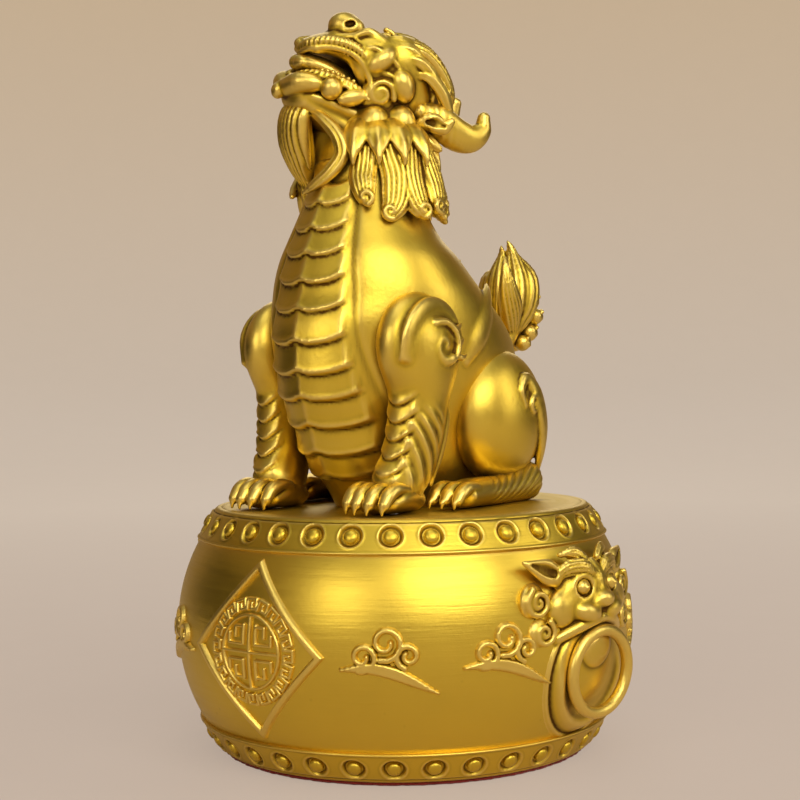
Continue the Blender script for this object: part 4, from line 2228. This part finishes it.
@dataclass
class Mane:
    """Ribbed locks round the neck under a collar of pointed leaves, in the head's turned frame."""

    turn: float = 28.0
    axis_y: float = -10.0
    side_locks: tuple[Point, ...] = (
        (60.0, 140.8, 3.3, -2.0), (80.0, 137.2, 3.9, 5.0), (99.0, 138.0, 3.8, -3.5), (117.0, 139.4, 3.6, 3.0))
    back_locks: tuple[Point, ...] = tuple(
        (angle, 139.0 + 1.4 * (i % 2), 3.1, 3.0 if i % 2 else -3.0)
        for i, angle in enumerate((134.0, 149.0, 164.0, 180.0, 196.0, 211.0, 226.0)))
    side_leaves: tuple[float, ...] = (52.0, 70.5, 89.5, 108.5)
    back_leaves: tuple[float, ...] = (126.0, 144.0, 162.0, 180.0, 198.0, 216.0, 234.0)
    side_reach: float = 21.6
    back_reach: float = 18.6
    side_voxel: float = 0.32
    back_voxel: float = 0.36

    def _place(self, angle: float, out: float, height: float) -> tuple[float, float, float]:
        """A place round the neck, in the turned frame."""
        a = math.radians(angle)
        return (out * math.sin(a), -out * math.cos(a), height)

    def lock(self, angle: float, foot: float, width: float, sway: float, reach: float) -> Form:
        """One lock, in an S, with a curl at its foot.

        Args:
            angle: about the neck, from straight ahead.
            foot: height of its foot.
            width: half its width.
            sway: degrees that its middle swings sideways.
            reach: how far out its foot stands.

        Returns:
            The form.
        """
        a = math.radians(angle)
        out = (math.sin(a), -math.cos(a), 0)
        rows = ((160.0, 0.67, -0.6, 0.8, 1.8), (154.0, 0.77, 0.2, 1.0, 2.1), (148.0, 0.85, 1.0, 1.1, 2.3),
                (foot + 4.4, 0.92, 0.5, 1.0, 2.2), (foot + 1.2, 0.97, -0.4, 0.75, 1.8), (foot, 1.0, -1.0, 0.45, 1.2))
        stations = []
        for height, share, swing, broad, depth in rows:
            stations.append((*self._place(angle + sway * swing, reach * share, height), width * broad, depth))
        tip = curl(self._place(angle - sway * 0.6, reach + 0.6, foot + 1.1), 1.9, 0.8, 1.2 if sway > 0 else -1.2, out,
                   250, 1.1)
        return strand(stations, out=out, ribs=Ribs(6, 0.45, 0.0), steps=5).join(tip, soft=0.4)

    def throat(self, side: Side) -> Form:
        """The looped leaf of hair beside the beard.

        Args:
            side: the figure's own side.

        Returns:
            The leaf.
        """
        rows = ((12.0, 19.4, 165.6, 1.3, 1.5), (24.0, 18.8, 163.0, 1.7, 1.7), (37.0, 18.4, 158.4, 2.1, 1.7),
                (41.5, 18.6, 153.6, 2.2, 1.6), (34.0, 19.8, 149.4, 2.2, 1.5), (22.0, 21.0, 146.2, 1.6, 1.2),
                (12.0, 21.8, 144.4, 0.7, 0.7))
        path = [(*self._place(side.value * a, out, z), w, d) for a, out, z, w, d in rows]
        form = strand(path, out=self._place(side.value * 30.0, 1.0, 0.0), ribs=Ribs(3, 0.4), steps=5)
        return form.placed(turned_frame(yaw=-self.turn), (0, self.axis_y, 0))

    def leaf(self, angle: float, reach: float) -> Form:
        """One pointed leaf of the collar.

        Args:
            angle: place about the neck in degrees.
            reach: how far out its foot stands.

        Returns:
            The leaf.
        """
        a = math.radians(angle)
        stations = [(*self._place(angle, reach * 0.66, 161.5), 3.2, 1.8),
                    (*self._place(angle, reach * 0.84, 158.6), 3.7, 1.6),
                    (*self._place(angle, reach * 0.94, 155.6), 2.5, 1.1),
                    (*self._place(angle, reach, 152.8), 1.0, 0.8), (*self._place(angle, reach * 1.01, 150.6), 0.4, 0.5)]
        rib = strand([(*self._place(angle, reach * share, height), wide, wide)
                      for share, height, wide in ((0.86, 159.6, 0.6), (0.99, 156.0, 0.6), (1.03, 152.0, 0.4))])
        return strand(stations, out=(math.sin(a), -math.cos(a), 0.3)).join(rib, soft=0.8)

    def group(self, locks: Sequence[Point], leaves: Sequence[float], side: Side, reach: float) -> Form:
        """A row of locks under its leaves.

        Args:
            locks: angle, foot, half width and sway of each lock.
            leaves: angle of each leaf.
            side: the figure's own side.
            reach: how far out the locks' feet stand.

        Returns:
            The row.
        """
        form = None
        for angle, foot, width, sway in locks:
            item = self.lock(side.value * angle, foot, width, side.value * sway, reach)
            form = item if form is None else form.join(item, soft=0.25)
        for angle in leaves:
            form = form.join(self.leaf(side.value * angle, reach - 1.6), soft=0.3)
        return form.placed(turned_frame(yaw=-self.turn), (0, self.axis_y, 0))

    def build(self, shop: Workshop, finish: bpy.types.Material) -> None:
        """Makes the locks of both sides and of the nape.

        Args:
            shop: where the pieces are made.
            finish: its material.
        """
        for side in Side:
            form = self.group(self.side_locks, self.side_leaves, side, self.side_reach)
            shop.sculpt("mane_locks_" + side.word, form, self.side_voxel, finish, ["mane_" + side.word])
        form = self.group(self.back_locks, self.back_leaves, Side.LEFT, self.back_reach)
        shop.sculpt("mane_locks_nape", form, self.back_voxel, finish, ["mane_back"])


# ---------------------------------------------------------------- stage
@dataclass
class Stage:
    """Floor, lights and camera. Sizes in metres and degrees."""

    azimuth: float = 37.5
    distance: float = 0.397
    height: float = 0.0954
    pitch: float = 0.63
    roll: float = 0.86
    lens: float = 66.375
    floor_colour: tuple[float, float, float, float] = (0.60, 0.49, 0.405, 1)
    far_colour: tuple[float, float, float, float] = (0.70, 0.59, 0.485, 1)
    wall_colour: tuple[float, float, float, float] = (0.67, 0.515, 0.345, 1)
    even: float = 0.72

    def camera(self) -> None:
        """The camera, low and near, at the figure's left front."""
        data = bpy.data.cameras.new("camera")
        data.lens, data.sensor_width = self.lens, 36.0
        data.clip_start, data.clip_end = 0.01, 50.0
        thing = bpy.data.objects.new("camera", data)
        turn = math.radians(self.azimuth)
        place = Vector((self.distance * math.sin(turn), -self.distance * math.cos(turn), self.height))
        aim = (Matrix.Rotation(turn, 4, "Z") @ Matrix.Rotation(math.radians(90 - self.pitch), 4, "X")
               @ Matrix.Rotation(math.radians(-self.roll), 4, "Z"))
        thing.matrix_world = Matrix.Translation(place) @ aim
        bpy.context.scene.collection.objects.link(thing)
        bpy.context.scene.camera = thing

    def _backdrop(self) -> bpy.types.Material:
        """Warm pale paper. The camera sees it evenly lit, while it lights the object as plain paper.

        Returns:
            The material.
        """
        shader = Shader("backdrop_paper")
        place = shader.position()
        grain = shader.noise(place, 40.0, 3.0, 0.6)
        x, y, z = shader.split(place)
        high = ((z - 0.05) * 1.6).held()
        away = ((x * x + y * y) ** 0.5 * 1.4 - 0.15).held()
        tone = shader.mix(away, self.floor_colour, self.far_colour)
        tone = shader.mix(high, tone, self.wall_colour)
        colour = shader.mix(grain * 0.05, tone, (0.42, 0.34, 0.26, 1))
        paper = shader.node("ShaderNodeBsdfPrincipled", Base_Color=colour, Roughness=0.8)
        glow = shader.node("ShaderNodeEmission", Color=colour, Strength=1.0)
        seen = shader.node("ShaderNodeLightPath", out="Is Camera Ray")
        surface = shader.node("ShaderNodeMixShader", Fac=seen * self.even)
        links, mixer = shader.tree.links, surface.socket.node
        links.new(paper.socket, mixer.inputs[1])
        links.new(glow.socket, mixer.inputs[2])
        return shader.finish(surface)

    def floor(self) -> None:
        """A floor that sweeps up behind the object all round, out of the camera's way."""
        finish = self._backdrop()
        rows = [(0.0, 0.0), (0.4, 0.0), (0.9, 0.0), (1.25, 0.03), (1.5, 0.16), (1.62, 0.4), (1.66, 0.9), (1.66, 1.6)]
        path = smooth_path(rows, 6)
        count = 96
        points, faces = [], []
        for r, z in path:
            points += [(float(r) * math.cos(2 * math.pi * k / count), float(r) * math.sin(2 * math.pi * k / count),
                        float(z)) for k in range(count)]
        for i in range(len(path) - 1):
            for k in range(count):
                n = (k + 1) % count
                faces.append((i * count + k, i * count + n, (i + 1) * count + n, (i + 1) * count + k))
        mesh = bpy.data.meshes.new("studio_floor")
        mesh.from_pydata(points, [], faces)
        mesh.materials.append(finish)
        for polygon in mesh.polygons:
            polygon.use_smooth = True
        thing = bpy.data.objects.new("studio_floor", mesh)
        bpy.context.scene.collection.objects.link(thing)
        thing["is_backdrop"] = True

    def _lamp(self, name: str, azimuth: float, elevation: float, distance: float, size: Point, power: float,
              colour: Point = (1, 1, 1)) -> None:
        """A rectangular soft light that looks at the object's middle.

        Args:
            name: its name.
            azimuth: its bearing in degrees.
            elevation: its height in degrees.
            distance: how far off it stands.
            size: its width and height.
            power: its strength in watts.
            colour: its colour.
        """
        data = bpy.data.lights.new(name, "AREA")
        data.shape, data.size, data.size_y = "RECTANGLE", size[0], size[1]
        data.energy, data.color = power, colour
        thing = bpy.data.objects.new(name, data)
        a, e = math.radians(azimuth), math.radians(elevation)
        place = Vector((math.sin(a) * math.cos(e), -math.cos(a) * math.cos(e), math.sin(e))) * distance
        target = Vector((0, 0, 0.08))
        thing.location = place + target
        thing.rotation_euler = (-place).to_track_quat("-Z", "Y").to_euler()
        bpy.context.scene.collection.objects.link(thing)

    def _flag(self, name: str, azimuth: float, distance: float, width: float, height: float) -> None:
        """A dark upright card that keeps a side of the object in shade.

        Args:
            name: its name.
            azimuth: its bearing in degrees.
            distance: how far off it stands.
            width: its width.
            height: its height.
        """
        shader = Shader(name + "_cloth")
        surface = shader.node("ShaderNodeBsdfPrincipled", Base_Color=(0.035, 0.026, 0.018, 1), Roughness=0.9)
        a = math.radians(azimuth)
        middle = Vector((math.sin(a), -math.cos(a), 0)) * distance
        across = Vector((math.cos(a), math.sin(a), 0)) * (width / 2)
        rise = Vector((0, 0, height))
        corners = [middle - across, middle + across, middle + across + rise, middle - across + rise]
        mesh = bpy.data.meshes.new(name)
        mesh.from_pydata(corners, [], [(0, 1, 2, 3)])
        mesh.materials.append(shader.finish(surface))
        thing = bpy.data.objects.new(name, mesh)
        bpy.context.scene.collection.objects.link(thing)
        thing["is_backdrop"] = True

    def lights(self) -> None:
        """A broad key from the right front, a fill from the right, one from above and a dim surround."""
        self._lamp("key_light", 62.0, 32.0, 0.95, (0.75, 0.5), 4.7, (1.0, 0.98, 0.92))
        self._lamp("front_light", 6.0, 22.0, 1.1, (0.5, 0.5), 2.0, (1.0, 0.97, 0.92))
        self._lamp("fill_light", 118.0, 22.0, 1.1, (0.35, 0.7), 1.9, (1.0, 0.97, 0.92))
        self._lamp("top_light", 30.0, 78.0, 1.1, (0.7, 0.7), 2.0)
        self._lamp("back_light", 215.0, 30.0, 1.2, (0.8, 0.6), 2.2)
        self._flag("flag_left", -58.0, 0.6, 0.7, 0.3)
        self._flag("flag_rear", 150.0, 0.75, 0.5, 0.6)
        world = bpy.data.worlds.new("surround")
        world.use_nodes = True
        world.node_tree.nodes["Background"].inputs[0].default_value = (0.80, 0.70, 0.58, 1)
        world.node_tree.nodes["Background"].inputs[1].default_value = 0.30
        bpy.context.scene.world = world

    def build(self) -> None:
        """Sets up the stage."""
        self.camera()
        self.floor()
        self.lights()
        bpy.context.scene.view_settings.view_transform = "Standard"


# ---------------------------------------------------------------- the whole
def main() -> None:
    """Builds every sub-assembly in order."""
    logging.basicConfig(level=logging.INFO, format="%(message)s")
    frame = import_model()
    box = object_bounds()
    low, high = (np.array(corner) / MM for corner in box)
    shop = Workshop(low, high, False)
    Stage().build()
    cast = Brass("cast_brass").build()
    brushed = Brass("brushed_brass", grain=Grain.BRUSHED_ROUND).build()
    plain = Brass("stud_brass", aged=False).build()
    steel, felt = Steel().build(), Felt().build()
    drum = Drum()
    drum.build(shop, brushed, plain, felt)
    Relief(drum).build(shop, cast)
    LionMask().build(shop, cast)
    Trunk().build(shop, cast)
    Legs().build(shop, cast)
    Tail().build(shop, cast)
    Head().build(shop, cast, Mane())
    for name, finish in (("base_plate", plain), ("fixing_screws", steel)):
        for material_slot in frame["nodes"][name].material_slots:
            material_slot.material = finish
    shop.age()


if __name__ == "__main__":
    main()
